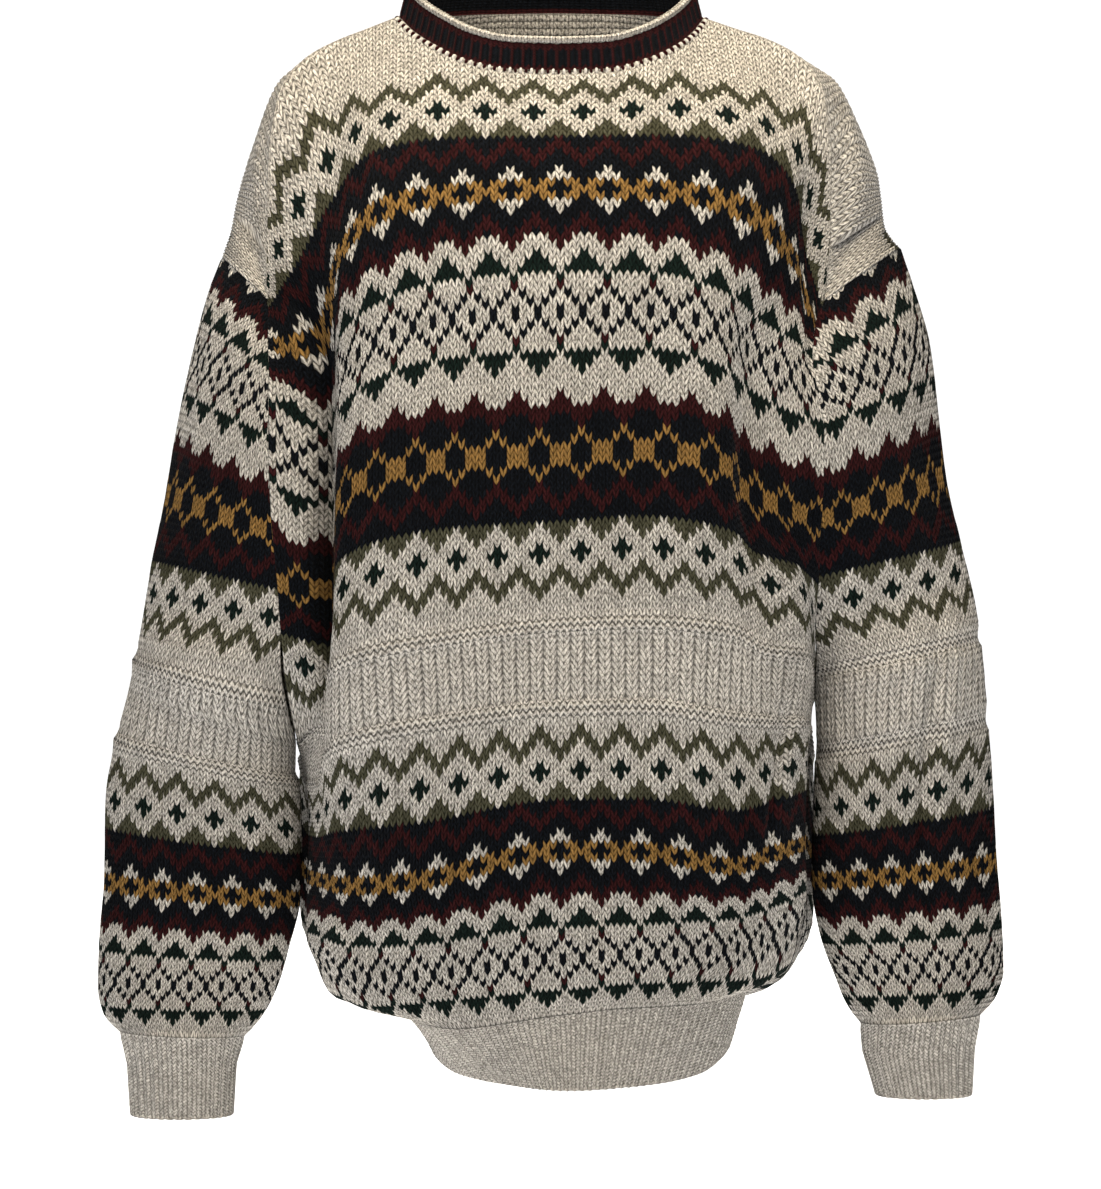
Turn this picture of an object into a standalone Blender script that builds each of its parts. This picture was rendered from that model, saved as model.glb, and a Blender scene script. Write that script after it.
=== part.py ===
"""Fair isle jumper, filled out and hollow, in ten knitted pieces.

The front and back panels, two sleeves, the neckband, two hem ribs and two cuffs
are closed walls of even thickness that stop just short of each other at the seams,
and a rolled edge lies along the top of the neckband.
Lengths in the tables are millimetres. +Z is up, the front faces -Y, left and right
are as seen from the front. Courses are counted down from the first patterned row
and stitches are counted outwards from the middle of a panel.
"""

import math
from collections import namedtuple

import bpy
import numpy as np

MM = 0.001

# Cloth
WALL = 3.0                 # stranded knit with the floats behind it
RIB_WALL = 2.6             # plain part of the ribbed pieces
RIB_RAISE = 1.0            # how far a rib stands over the hollow beside it
SEAM_GAP = 0.8             # a piece stops this far short of its seam
RIB_SEAM_GAP = 0.2         # at the top of a cuff and the foot of the neckband
SEAM_REACH = 2.0           # edges nearer than this are laid on each other
MITRE_REACH = 4.5          # edges nearer than this share one direction of thickness
FOLDED_FLAT = -0.5         # but not where the two faces look at each other
UNDERARM_SPREAD = 3.6      # the sleeve hangs this far beside the body at the underarm
MITRE_LIMIT = 0.75         # rims of seams folded sharper than this get thinner
HEM_RIBS = 56              # on each half of the hem
CUFF_RIBS = 34
NECK_RIBS = 74
NECK_ROLL = 2.4            # radius of the rolled top edge of the neckband
NECK_MIDDLE = (3.0, -8.0, 0.0)

# Wool colours, linear
WOOL_ROUGHNESS = 0.95
STRANDED = (0.24, 0.20, 0.16)
OATMEAL = (0.55, 0.48, 0.38)
YARN = {
    "front": ("Front stranded wool", STRANDED),
    "back": ("Back stranded wool", STRANDED),
    "sleeve_left": ("Left sleeve stranded wool", STRANDED),
    "sleeve_right": ("Right sleeve stranded wool", STRANDED),
    "neckband": ("Navy and burgundy ribbed wool", (0.05, 0.03, 0.04)),
    "neck_roll": ("Oatmeal wool of the neck edge", OATMEAL),
    "hem_rib_front": ("Oatmeal wool of the front hem", OATMEAL),
    "hem_rib_back": ("Oatmeal wool of the back hem", OATMEAL),
    "cuff_left": ("Oatmeal wool of the left cuff", OATMEAL),
    "cuff_right": ("Oatmeal wool of the right cuff", OATMEAL),
}

# Panels
HALF_STITCHES = 54.5       # from the middle of a panel to its side
NECK_STITCH = 19.5         # where the neck meets the shoulder seam
UNDERARM_COURSE = 77.0
HEM_COURSE = 139.0
CAP_COURSE = 21.0          # first course of a sleeve
CAP_END_COURSE = 20.0      # back course where the sleeve top ends
SLEEVE_JOIN_COURSE = 83.0  # sleeve course at the underarm
BACK_CORNER_COURSE = -10.0

Line = namedtuple("Line", "course x y z")
Mark = namedtuple("Mark", "stitch x y z")
Section = namedtuple("Section", "course mid crest groove strip")
Seam = namedtuple("Seam", "stitch front_course back_course x y z")
Armhole = namedtuple("Armhole", "body_course sleeve_course x y z")
Outer = namedtuple("Outer", "course x y z")
Ring = namedtuple("Ring", "course front_depth back_depth sweep")


def rows(kind, *table):
    """Table rows as named tuples."""
    return [kind(*row) for row in table]


def sections(*table):
    """Panel sections, each with four marks between its middle and its edge."""
    return [Section(row[0], *[Mark(*mark) for mark in row[1:]]) for row in table]


# Middle of the front, course by course
FRONT_CENTRE = rows(
    Line,
    (12, 6, -113, -97),
    (24, 7, -127, -146),
    (36, 7, -132, -203),
    (54, 7, -136, -288),
    (69, 7, -135, -352),
    (77, 7, -134, -386),
    (88, 7, -133, -432),
    (99, 7, -131, -481),
    (112, 7, -128, -530),
    (124, 8, -124, -579),
    (130, 9, -120, -602),
    (135, 10, -116, -621),
    (139, 10, -112, -632),
)

# Front, left of the middle: a deep fold runs from the shoulder to below the arm
FRONT_LEFT = sections(
    (12, (15, -68, -104, -98), (24, -110, -88, -104), (34, -134, -74, -133), (44, -157, -64, -172)),
    (24, (15.5, -67, -120, -151), (34, -128, -100, -184), (46.5, -137, -60, -240), (50, -157, -70, -240)),
    (36, (17, -67, -124, -208), (35, -128, -100, -239), (46.5, -137, -54, -296), (50, -155, -72, -292)),
    (54, (17.5, -67, -128, -292), (35.5, -129, -101, -315), (46.5, -137, -52, -371), (50, -154, -68, -369)),
    (69, (18, -68, -127, -358), (35.5, -131, -100, -379), (46.5, -136, -54, -427), (50, -150, -60, -423)),
    (77, (18, -68, -126, -395), (35.5, -134, -96, -415), (46, -139, -54, -456), (50, -147, -42, -456)),
    (88, (18.5, -68, -124, -441), (36, -137, -88, -461), (44.5, -144, -50, -486), (50, -152, -24, -489)),
    (99, (19, -71, -118, -492), (36.5, -135, -76, -504), (44, -144, -48, -514), (49.5, -152, -16, -516)),
    (112, (21, -80, -108, -550), (36, -130, -72, -556), (42.5, -144, -46, -555), (49, -154, -10, -556)),
    (124, (21.5, -75, -102, -591), (36, -125, -74, -596), (43, -145, -46, -592), (49, -155, -12, -592)),
    (130, (21.5, -72, -98, -614), (36, -120, -74, -618), (43, -139, -46, -612), (49, -149, -12, -610)),
    (135, (22, -68, -96, -630), (35.5, -108, -72, -634), (42.5, -126, -46, -631), (48.5, -135, -14, -632)),
    (139, (22, -60, -92, -643), (35, -86, -70, -638), (42, -96, -44, -625), (48, -99, -14, -619)),
)

# Front, right of the middle: a shallower fold that dies out at the waist
FRONT_RIGHT = sections(
    (12, (15, 81, -104, -96), (25, 130, -88, -102), (33, 152, -74, -124), (43, 160, -60, -157)),
    (24, (12, 66, -122, -147), (24, 117, -104, -160), (31, 139, -88, -176), (39, 155, -74, -190)),
    (36, (12, 62, -128, -202), (23.5, 110, -112, -214), (29.5, 121, -96, -222), (38, 148, -84, -237)),
    (54, (12, 58, -132, -285), (24.5, 110, -114, -295), (29, 118, -96, -307), (38, 144, -84, -318)),
    (69, (12, 57, -131, -349), (26, 115, -108, -357), (31, 130, -94, -369), (39, 160, -66, -376)),
    (77, (12, 57, -130, -384), (26, 115, -106, -390), (32, 133, -94, -402), (40, 162, -60, -407)),
    (88, (12, 57, -129, -431), (26.5, 115, -104, -440), (34, 139, -88, -444), (42, 163, -52, -447)),
    (99, (12, 56, -127, -480), (27, 117, -100, -487), (36, 142, -84, -483), (44, 162, -44, -481)),
    (112, (12, 56, -122, -531), (27, 115, -98, -542), (37, 142, -78, -535), (46, 162, -36, -532)),
    (124, (12, 56, -116, -578), (27, 111, -92, -577), (38, 140, -72, -571), (47, 163, -28, -565)),
    (130, (12, 55, -112, -600), (27, 108, -88, -600), (38, 137, -66, -595), (47, 159, -24, -590)),
    (135, (12, 53, -108, -618), (27, 98, -86, -619), (37, 127, -64, -620), (47, 149, -22, -616)),
    (139, (12, 49, -104, -629), (26, 89, -84, -629), (36, 110, -62, -627), (46, 124, -24, -622)),
)

BACK_CENTRE = rows(
    Line,
    (-10, 3, 68, -22),
    (0, 3, 80, -67),
    (12, 3, 92, -121),
    (24, 3, 100, -175),
    (36, 3, 105, -228),
    (54, 3, 108, -308),
    (69, 3, 110, -373),
    (77, 3, 111, -408),
    (88, 3, 112, -454),
    (99, 3, 113, -500),
    (112, 3, 113, -554),
    (124, 3, 110, -603),
    (130, 3, 106, -627),
    (135, 3, 100, -646),
    (139, 3, 96, -656),
)

# Back, right half; the left half mirrors it and is drawn in by LEFT_PULL
BACK_HALF = sections(
    (-10, (19.5, 100, 48, -14), (28, 144, 36, -23), (34, 184, 4, -39), (42, 200, -36, -106)),
    (0, (19.5, 101, 74, -54), (28, 148, 68, -55), (34, 188, 46, -61), (42, 213, 8, -104)),
    (12, (19.5, 102, 88, -108), (30, 148, 82, -111), (38, 188, 64, -119), (46, 206, 46, -142)),
    (24, (19, 90, 97, -169), (31, 140, 90, -174), (42, 158, 58, -194), (49, 176, 64, -206)),
    (36, (18, 84, 102, -231), (32, 139, 90, -238), (44, 142, 50, -262), (50, 164, 62, -270)),
    (54, (18, 84, 106, -311), (32, 138, 93, -320), (44, 138, 52, -346), (50, 158, 62, -354)),
    (69, (18, 84, 107, -377), (32, 138, 95, -386), (44, 146, 58, -410), (50, 158, 50, -416)),
    (77, (18, 84, 108, -411), (33, 140, 95, -420), (43, 154, 64, -434), (49, 161, 34, -446)),
    (88, (18, 82, 109, -457), (33, 140, 96, -463), (42, 161, 68, -470), (48, 167, 38, -474)),
    (99, (18, 82, 110, -503), (33, 140, 97, -506), (41, 163, 76, -510), (48, 168, 46, -508)),
    (112, (18, 82, 110, -556), (33, 140, 97, -556), (41, 164, 78, -556), (48, 170, 50, -550)),
    (124, (18, 80, 106, -604), (33, 138, 93, -602), (41, 163, 74, -598), (48, 170, 48, -590)),
    (130, (18, 76, 102, -628), (33, 130, 89, -624), (41, 155, 70, -618), (48, 165, 46, -608)),
    (135, (18, 68, 96, -648), (33, 116, 82, -644), (41, 138, 66, -638), (48, 148, 42, -628)),
    (139, (18, 58, 90, -656), (33, 96, 72, -649), (41, 112, 54, -640), (48, 122, 32, -628)),
)
LEFT_PULL = rows(
    namedtuple("Pull", "course factor"), (-10, 0.94), (0, 0.93), (12, 0.96), (24, 1.0), (69, 1.0), (88, 0.95),
    (124, 0.94), (130, 0.92), (135, 0.9), (139, 0.86))

# Neck and shoulder seam: the seam lies well forward of the shoulder ridge
NECK_FRONT_LEFT = rows(
    Mark, (0, 6, -78, -46), (6, -26, -74, -44), (11, -51, -64, -37), (15, -71, -46, -25),
    (17.5, -85, -30, -14), (19.5, -96, -12, -1))
NECK_FRONT_RIGHT = rows(
    Mark, (0, 6, -78, -46), (6, 37, -74, -44), (11, 62, -64, -36), (15, 81, -46, -24),
    (17.5, 91, -30, -14), (19.5, 99, -12, -2))
NECK_BACK_LEFT = rows(
    Mark, (0, 3, 56, 14), (6, -27, 53, 13), (11, -51, 44, 11), (15, -73, 28, 7),
    (17.5, -87, 10, 3), (19.5, -96, -12, -1))
NECK_BACK_RIGHT = rows(
    Mark, (0, 3, 56, 14), (6, 33, 53, 13), (11, 57, 44, 11), (15, 78, 28, 7),
    (17.5, 91, 10, 2), (19.5, 99, -12, -2))
NECK_COURSE = rows(
    namedtuple("NeckCourse", "stitch front_course back_course"),
    (0, -2.5, -18), (6, -2.5, -18), (11, -3, -18.5), (15, -5.5, -20), (17.5, -8.5, -22), (19.5, -14, -24))
SHOULDER_LEFT = rows(
    Seam, (19.5, -14, -24, -96, -12, -1), (24, -12, -23, -116, -13, -9), (28.5, -9.5, -21.5, -137, -17, -18),
    (32, -7, -20, -157, -25, -31), (35, -4.5, -19, -171, -38, -53), (39, -2, -17, -177, -48, -97),
    (45, 2, -14, -178, -54, -144), (51, 6, -11.5, -178, -58, -176), (54.5, 8, -10, -177, -60, -188))
SHOULDER_RIGHT = rows(
    Seam, (19.5, -14, -24, 99, -12, -2), (24, -12, -23, 119, -13, -9), (28.5, -9.5, -21.5, 141, -17, -17),
    (32, -7, -20, 161, -26, -30), (35, -4.5, -19, 174, -40, -52), (39, -2, -17, 178, -50, -97),
    (45, 2, -14, 178, -54, -139), (51, 6, -11.5, 175, -59, -173), (54.5, 8, -10, 173, -62, -189))

# Armhole seams, from the shoulder corner down to the underarm
ARM_FRONT_LEFT = rows(
    Armhole, (8, 21, -177, -60, -188), (19, 27, -177, -69, -216), (27, 31, -176, -74, -235),
    (36, 42, -176, -77, -280), (43, 49, -175, -76, -314), (54, 62.5, -171, -70, -366),
    (68, 74, -168, -58, -415), (74, 80, -164, -34, -450), (77, 83, -162, -6, -469))
ARM_FRONT_RIGHT = rows(
    Armhole, (8, 21, 173, -62, -189), (20, 25, 167, -69, -206), (32, 30, 166, -76, -230),
    (36.5, 34, 168, -79, -246), (42, 42, 172, -79, -272), (49, 49, 172, -74, -306),
    (60, 61, 170, -58, -352), (70, 74, 169, -34, -405), (77, 83, 170, -6, -441))
ARM_BACK_LEFT = rows(
    Armhole, (20, 21, -197, 58, -184), (29, 34, -188, 74, -236), (40, 46, -182, 78, -296),
    (56, 62, -176, 72, -362), (68, 74, -170, 52, -415), (74, 80, -165, 20, -456), (77, 83, -162, -6, -469))
ARM_BACK_RIGHT = rows(
    Armhole, (20, 21, 210, 58, -180), (29, 34, 197, 74, -230), (40, 46, 188, 78, -286),
    (56, 62, 182, 72, -350), (68, 74, 176, 50, -398), (74, 80, 171, 22, -430), (77, 83, 170, -6, -441))
# The front is narrowest beside the right arm
RIGHT_EDGE = rows(
    namedtuple("Edge", "course stitch"), (8, 54.5), (14, 51.5), (20, 47.5), (27, 45), (46, 45),
    (54, 46.5), (62, 49), (69, 51.5), (77, 54.5))

# Side seams, below the underarm
SIDE_LEFT = rows(
    Line, (77, -162, -6, -469), (88, -158, 6, -489), (99, -156, 20, -518), (112, -157, 28, -558),
    (124, -157, 28, -595), (130, -151, 26, -612), (135, -137, 20, -634), (139, -99, 12, -624))
SIDE_RIGHT = rows(
    Line, (77, 170, -6, -441), (88, 168, -5, -458), (99, 166, -2, -486), (112, 165, 4, -534),
    (124, 166, 8, -568), (130, 163, 8, -591), (135, 154, 6, -617), (139, 130, 6, -622))

# Sleeves: the outermost line, the underarm line and the depth of each ring
SLEEVE_OUTER_LEFT = rows(
    Outer, (21, -210, -4, -156), (27, -219, -4, -180), (36, -230, -4, -223), (46, -239.5, -4, -268),
    (54, -246.5, -4, -309), (64, -255.5, -4, -354), (75, -263.5, -4, -402), (83, -270.5, -4, -435),
    (93, -281.5, -4, -479), (99, -285.5, -4, -505), (112, -286.5, -4, -559), (121, -289.5, -4, -594),
    (130, -290.5, -4, -627), (135, -287.5, -4, -643), (139, -277.5, -4, -655))
SLEEVE_OUTER_RIGHT = rows(
    Outer, (21, 226, -4, -150), (27, 233, -4, -171), (36, 245, -4, -213), (46, 250.5, -4, -259),
    (54, 255.5, -4, -298), (64, 265.5, -4, -342), (75, 275.5, -4, -386), (83, 279.5, -4, -419),
    (93, 283.5, -4, -465), (99, 285.5, -4, -491), (112, 288.5, -4, -547), (121, 291.5, -4, -581),
    (130, 293, -4, -614), (135, 289, -4, -631), (139, 279, -4, -644))
SLEEVE_INNER_LEFT = rows(
    Outer, (83, -165.6, -6, -469), (88, -166, -6, -486), (93, -163, -6, -503), (99, -162, -6, -525),
    (112, -163, -6, -570), (121, -170, -6, -601), (130, -179, -6, -630), (135, -187, -6, -645),
    (139, -198, -6, -658))
SLEEVE_INNER_RIGHT = rows(
    Outer, (83, 173.6, -6, -441), (88, 175, -6, -464), (93, 174, -6, -486), (99, 173, -6, -512),
    (112, 172, -6, -558), (121, 177, -6, -591), (130, 187, -6, -620), (135, 194, -6, -637),
    (139, 203, -6, -650))
SLEEVE_RINGS = rows(
    Ring, (21, 56, 62, 90), (30, 66, 76, 90), (42, 72, 82, 90), (54, 66, 80, 92), (69, 58, 62, 104),
    (76, 53, 54, 138), (83, 47, 48, 174), (88, 43, 44, 178), (93, 39, 40, 180), (99, 35, 36, 180),
    (112, 30, 31, 180), (130, 29, 29, 180), (139, 30, 30, 180))

# Hem ring, stitches counted from the middle of each half
HEM_FRONT = rows(
    Mark, (-54.5, -73, 10, -673), (-46, -68, -22, -674), (-36, -57, -54, -676), (-20, -29, -88, -678),
    (0, 12, -110, -680), (20, 60, -92, -679), (36, 94, -54, -677), (46, 109, -22, -672),
    (54.5, 116, 6, -668))
HEM_BACK = rows(
    Mark, (-54.5, -73, 10, -673), (-46, -73, 42, -678), (-36, -64, 66, -684), (-20, -35, 90, -692),
    (0, 8, 102, -698), (20, 58, 92, -695), (36, 94, 70, -687), (46, 110, 40, -678),
    (54.5, 116, 6, -668))

# Neckband: rise, lean and rolled edge at places round the neck
NECKBAND = rows(
    namedtuple("Band", "turn rise lean"), (0, 17.5, 1.0), (0.25, 17.5, 4.5), (0.5, 17.5, 4.0),
    (0.75, 17.5, 4.5), (1, 17.5, 1.0))

# Cuffs below the sleeve: middle line, half width and half depth down the cuff
CUFF_LEFT = rows(
    namedtuple("Cuff", "drop x y z half_width half_depth"),
    (0.35, -238, -5, -677, 34, 26), (1, -238, -5, -710, 32, 23))
CUFF_RIGHT = rows(
    namedtuple("Cuff", "drop x y z half_width half_depth"),
    (0.35, 239.5, -5, -668, 35, 26), (1, 243, -5, -697, 30, 23))


def column(table, name):
    """One named column of a table."""
    return np.array([getattr(row, name) for row in table], float)


def smooth(knots, values, places):
    """Cubic through the values that never swings past them."""
    knots = np.asarray(knots, float)
    values = np.asarray(values, float)
    flat = values.ndim == 1
    if flat:
        values = values[:, None]
    places = np.clip(np.atleast_1d(np.asarray(places, float)), knots[0], knots[-1])
    step = np.diff(knots)[:, None]
    slope = np.diff(values, axis=0) / step
    tangent = np.zeros_like(values)
    tangent[0], tangent[-1] = slope[0], slope[-1]
    before, after = slope[:-1], slope[1:]
    weight_a, weight_b = 2 * step[1:] + step[:-1], step[1:] + 2 * step[:-1]
    safe_a = np.where(before == 0, 1, before)
    safe_b = np.where(after == 0, 1, after)
    mean = (weight_a + weight_b) / (weight_a / safe_a + weight_b / safe_b + 1e-12 * (safe_a + safe_b == 0))
    tangent[1:-1] = np.where(before * after > 0, mean, 0)
    cell = np.clip(np.searchsorted(knots, places, side="right") - 1, 0, len(knots) - 2)
    width = step[cell]
    t = ((places - knots[cell])[:, None]) / width
    result = ((1 + 2 * t) * (1 - t) ** 2 * values[cell] + t * (1 - t) ** 2 * width * tangent[cell]
              + t ** 2 * (3 - 2 * t) * values[cell + 1] + t ** 2 * (t - 1) * width * tangent[cell + 1])
    return result[:, 0] if flat else result


def along(table, key, places):
    """Points of a table with x, y and z columns at places along its key column."""
    points = np.stack([column(table, axis) for axis in "xyz"], axis=1)
    return smooth(column(table, key), points, places)


def lookup(table, key, name, places):
    """Any other column of a table at places along its key column."""
    return smooth(column(table, key), column(table, name), places)


SIDES = {
    "left": dict(neck_front=NECK_FRONT_LEFT, neck_back=NECK_BACK_LEFT, shoulder=SHOULDER_LEFT,
                 arm_front=ARM_FRONT_LEFT, arm_back=ARM_BACK_LEFT, side=SIDE_LEFT,
                 outer=SLEEVE_OUTER_LEFT, inner=SLEEVE_INNER_LEFT, cuff=CUFF_LEFT),
    "right": dict(neck_front=NECK_FRONT_RIGHT, neck_back=NECK_BACK_RIGHT, shoulder=SHOULDER_RIGHT,
                  arm_front=ARM_FRONT_RIGHT, arm_back=ARM_BACK_RIGHT, side=SIDE_RIGHT,
                  outer=SLEEVE_OUTER_RIGHT, inner=SLEEVE_INNER_RIGHT, cuff=CUFF_RIGHT),
}


def sleeve_ring(side, course, turns):
    """One course of a sleeve; turns run from -1 at the back edge to 1 at the front edge."""
    tables = SIDES[side]
    outer = along(tables["outer"], "course", course)[0]
    turns = np.asarray(turns, float)
    if course < SLEEVE_JOIN_COURSE:
        spread = [UNDERARM_SPREAD * min(max((course - 70) / 6, 0), 1) * np.sign(outer[0]), 0, 0]
        front_end = along(tables["arm_front"], "sleeve_course", course)[0] + spread
        back_end = along(tables["arm_back"], "sleeve_course", course)[0] + spread
    else:
        front_end = back_end = along(tables["inner"], "course", course)[0]
    sweep = math.radians(lookup(SLEEVE_RINGS, "course", "sweep", course)[0])
    points = np.zeros((len(turns), 3))
    for index, turn in enumerate(turns):
        end = front_end if turn >= 0 else back_end
        depth = -lookup(SLEEVE_RINGS, "course", "front_depth", course)[0]
        if turn < 0:
            depth = lookup(SLEEVE_RINGS, "course", "back_depth", course)[0]
        part = abs(turn)
        angle = part * sweep
        across = (1 - math.cos(angle)) / (1 - math.cos(sweep))
        points[index, 0] = outer[0] + (end[0] - outer[0]) * across
        points[index, 1] = (outer[1] + depth * math.sin(angle)
                            + part * (end[1] - outer[1] - depth * math.sin(sweep)))
        points[index, 2] = outer[2] + (end[2] - outer[2]) * across
    return points


def cap_line(side, parts):
    """Top edge of a sleeve, from the shoulder corner over the arm to the back."""
    fine = sleeve_ring(side, CAP_COURSE, np.linspace(1, -1, 81))
    length = np.concatenate([[0], np.cumsum(np.linalg.norm(np.diff(fine, axis=0), axis=1))])
    wanted = np.asarray(parts, float) * length[-1]
    return np.stack([np.interp(wanted, length, fine[:, axis]) for axis in range(3)], axis=1)


def panel_edge(face, side, courses):
    """Outer edge of a panel: armhole seam above the underarm, side seam below it."""
    courses = np.atleast_1d(np.asarray(courses, float))
    tables = SIDES[side]
    points = np.zeros((len(courses), 3))
    for index, course in enumerate(courses):
        if course >= UNDERARM_COURSE:
            points[index] = along(tables["side"], "course", course)[0]
        elif face == "front":
            points[index] = along(tables["arm_front"], "body_course", course)[0]
        elif course >= CAP_END_COURSE:
            points[index] = along(tables["arm_back"], "body_course", course)[0]
        else:
            part = (course - BACK_CORNER_COURSE) / (CAP_END_COURSE - BACK_CORNER_COURSE)
            points[index] = cap_line(side, [max(part, 0.0)])[0]
    return points


def edge_stitch(face, side, course):
    """Stitch count from the middle of a panel to its edge."""
    if face == "front" and side == "right":
        return float(lookup(RIGHT_EDGE, "course", "stitch", course)[0])
    return HALF_STITCHES


def top_course(face, stitch):
    """Course number of the top edge at one stitch."""
    place = abs(stitch)
    if place <= NECK_STITCH:
        return float(lookup(NECK_COURSE, "stitch", face + "_course", place)[0])
    table = SHOULDER_LEFT if stitch < 0 else SHOULDER_RIGHT
    return float(lookup(table, "stitch", face + "_course", place)[0])


def top_point(face, stitch):
    """Point of the top edge at one stitch."""
    tables = SIDES["left" if stitch < 0 else "right"]
    place = abs(stitch)
    if place <= NECK_STITCH:
        return along(tables["neck_" + face], "stitch", place)[0]
    return along(tables["shoulder"], "stitch", place)[0]


def half_marks(face, side, index):
    """Stitches and points of one section from its first mark to its edge."""
    if face == "front":
        section = (FRONT_LEFT if side == "left" else FRONT_RIGHT)[index]
        marks = list(section[1:])
    else:
        section = BACK_HALF[index]
        marks = list(section[1:])
        if side == "left":
            pull = float(lookup(LEFT_PULL, "course", "factor", section.course)[0])
            marks = [Mark(m.stitch, -m.x * pull, m.y, m.z) for m in marks]
    stitches = [m.stitch for m in marks] + [edge_stitch(face, side, section.course)]
    points = [[m.x, m.y, m.z] for m in marks] + [panel_edge(face, side, section.course)[0]]
    return np.array(stitches, float), np.array(points, float)


def section_lines(face, stitches):
    """Section curves of a panel read at the given stitches."""
    centre = FRONT_CENTRE if face == "front" else BACK_CENTRE
    lines = []
    for index, row in enumerate(centre):
        left_s, left_p = half_marks(face, "left", index)
        right_s, right_p = half_marks(face, "right", index)
        knots = np.concatenate([-left_s[::-1], [0], right_s])
        points = np.concatenate([left_p[::-1], [[row.x, row.y, row.z]], right_p])
        lines.append(smooth(knots, points, stitches))
    return column(centre, "course"), np.array(lines)


def panel_points(face, stitch_grid, course_grid):
    """Points of a panel at matching grids of stitch and course, rows by columns."""
    result = np.zeros(stitch_grid.shape + (3,))
    flat_s = stitch_grid.ravel()
    section_courses, lines = section_lines(face, flat_s)
    flat_k = course_grid.ravel()
    out = result.reshape(-1, 3)
    for index, (stitch, course) in enumerate(zip(flat_s, flat_k)):
        start = top_course(face, stitch)
        usable = section_courses > start + 3
        knots = np.concatenate([[start], section_courses[usable]])
        points = np.concatenate([[top_point(face, stitch)], lines[usable, index]])
        out[index] = smooth(knots, points, course)[0]
    for side, sign in (("left", -1), ("right", 1)):
        for row in range(stitch_grid.shape[0]):
            edge = -1 if sign > 0 else 0
            course = course_grid[row, edge]
            miss = panel_edge(face, side, course)[0] - result[row, edge]
            reach = abs(stitch_grid[row, edge])
            share = np.clip((sign * stitch_grid[row] - (reach - 9)) / 9, 0, 1)
            share = share * share * (3 - 2 * share)
            result[row] += share[:, None] * miss
    return result


def panel_grid(face, lanes, top_parts, courses):
    """Mid surface of a panel; lanes are stitches, the top rows follow the shoulder line."""
    stitch_grid = np.zeros((len(top_parts) + len(courses), len(lanes)))
    course_grid = np.zeros_like(stitch_grid)
    for col, lane in enumerate(lanes):
        for row, part in enumerate(top_parts):
            start = top_course(face, lane)
            course_grid[row, col] = start + (courses[0] - start) * part
            stitch_grid[row, col] = lane
        for row, course in enumerate(courses):
            course_grid[len(top_parts) + row, col] = course
            side = "left" if lane < 0 else "right"
            stitch_grid[len(top_parts) + row, col] = lane * edge_stitch(face, side, course) / HALF_STITCHES
    return panel_points(face, stitch_grid, course_grid)


def trimmed(grid, gaps, closed):
    """Grid with its edges drawn back squarely from the seams."""
    grid = grid.copy()
    normal = grid_normals(grid, closed)

    def draw_back(edge, inside, face, length, ring):
        if ring:
            tangent = np.roll(edge, -1, axis=0) - np.roll(edge, 1, axis=0)
        else:
            tangent = np.gradient(edge, axis=0)
        square = np.cross(face, tangent)
        square /= np.maximum(np.linalg.norm(square, axis=1, keepdims=True), 1e-9)
        step = np.einsum("ij,ij->i", square, inside - edge)[:, None]
        return edge + square * np.sign(step) * np.minimum(length, 0.6 * np.abs(step))

    first, last, top, bottom = gaps
    if first:
        grid[:, 0] = draw_back(grid[:, 0], grid[:, 1], normal[:, 0], first, False)
    if last:
        grid[:, -1] = draw_back(grid[:, -1], grid[:, -2], normal[:, -1], last, False)
    if top:
        grid[0] = draw_back(grid[0], grid[1], normal[0], top, closed)
    if bottom:
        grid[-1] = draw_back(grid[-1], grid[-2], normal[-1], bottom, closed)
    return grid


def grid_normals(grid, closed=False):
    """Unit normals of a grid of points."""
    if closed:
        across = np.roll(grid, -1, axis=1) - np.roll(grid, 1, axis=1)
    else:
        across = np.gradient(grid, axis=1)
    down = np.gradient(grid, axis=0)
    normal = np.cross(down, across)
    return normal / np.maximum(np.linalg.norm(normal, axis=-1, keepdims=True), 1e-9)


def nearest_on_line(point, line, normals, closed):
    """Distance from a point to a line of points, and the normal there."""
    if closed:
        line = np.concatenate([line, line[:1]])
        normals = np.concatenate([normals, normals[:1]])
    start, step = line[:-1], np.diff(line, axis=0)
    part = np.einsum("ij,ij->i", point - start, step) / np.maximum(np.einsum("ij,ij->i", step, step), 1e-9)
    part = np.clip(part, 0, 1)[:, None]
    miss = np.linalg.norm(start + step * part - point, axis=1)
    best = int(np.argmin(miss))
    return miss[best], normals[best] * (1 - part[best]) + normals[best + 1] * part[best]


class Piece:
    """One knitted piece: its middle surface as a grid, and how thick it is."""

    def __init__(self, name, grid, outward, thickness, closed=False, raised=None, gaps=(0, 0, 0, 0)):
        self.name = name
        self.grid = np.array(grid, float)
        self.thickness = thickness
        self.closed = closed
        self.raised = np.zeros(self.grid.shape[:2]) if raised is None else raised
        self.gaps = gaps
        self.outward = outward
        self.face_outwards()

    def face_outwards(self):
        """Set the normals of the grid, all on the outer side."""
        self.normal = grid_normals(self.grid, self.closed)
        middle = self.normal[self.grid.shape[0] // 2, self.grid.shape[1] // 2]
        if np.dot(middle, self.outward) < 0:
            self.normal = -self.normal

    def edges(self):
        """Index pairs of each edge line that can meet a seam."""
        count_r, count_c = self.grid.shape[:2]
        lines = [[(0, c) for c in range(count_c)], [(count_r - 1, c) for c in range(count_c)]]
        if not self.closed:
            lines.append([(r, 0) for r in range(count_r)])
            lines.append([(r, count_c - 1) for r in range(count_r)])
        return lines


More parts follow.
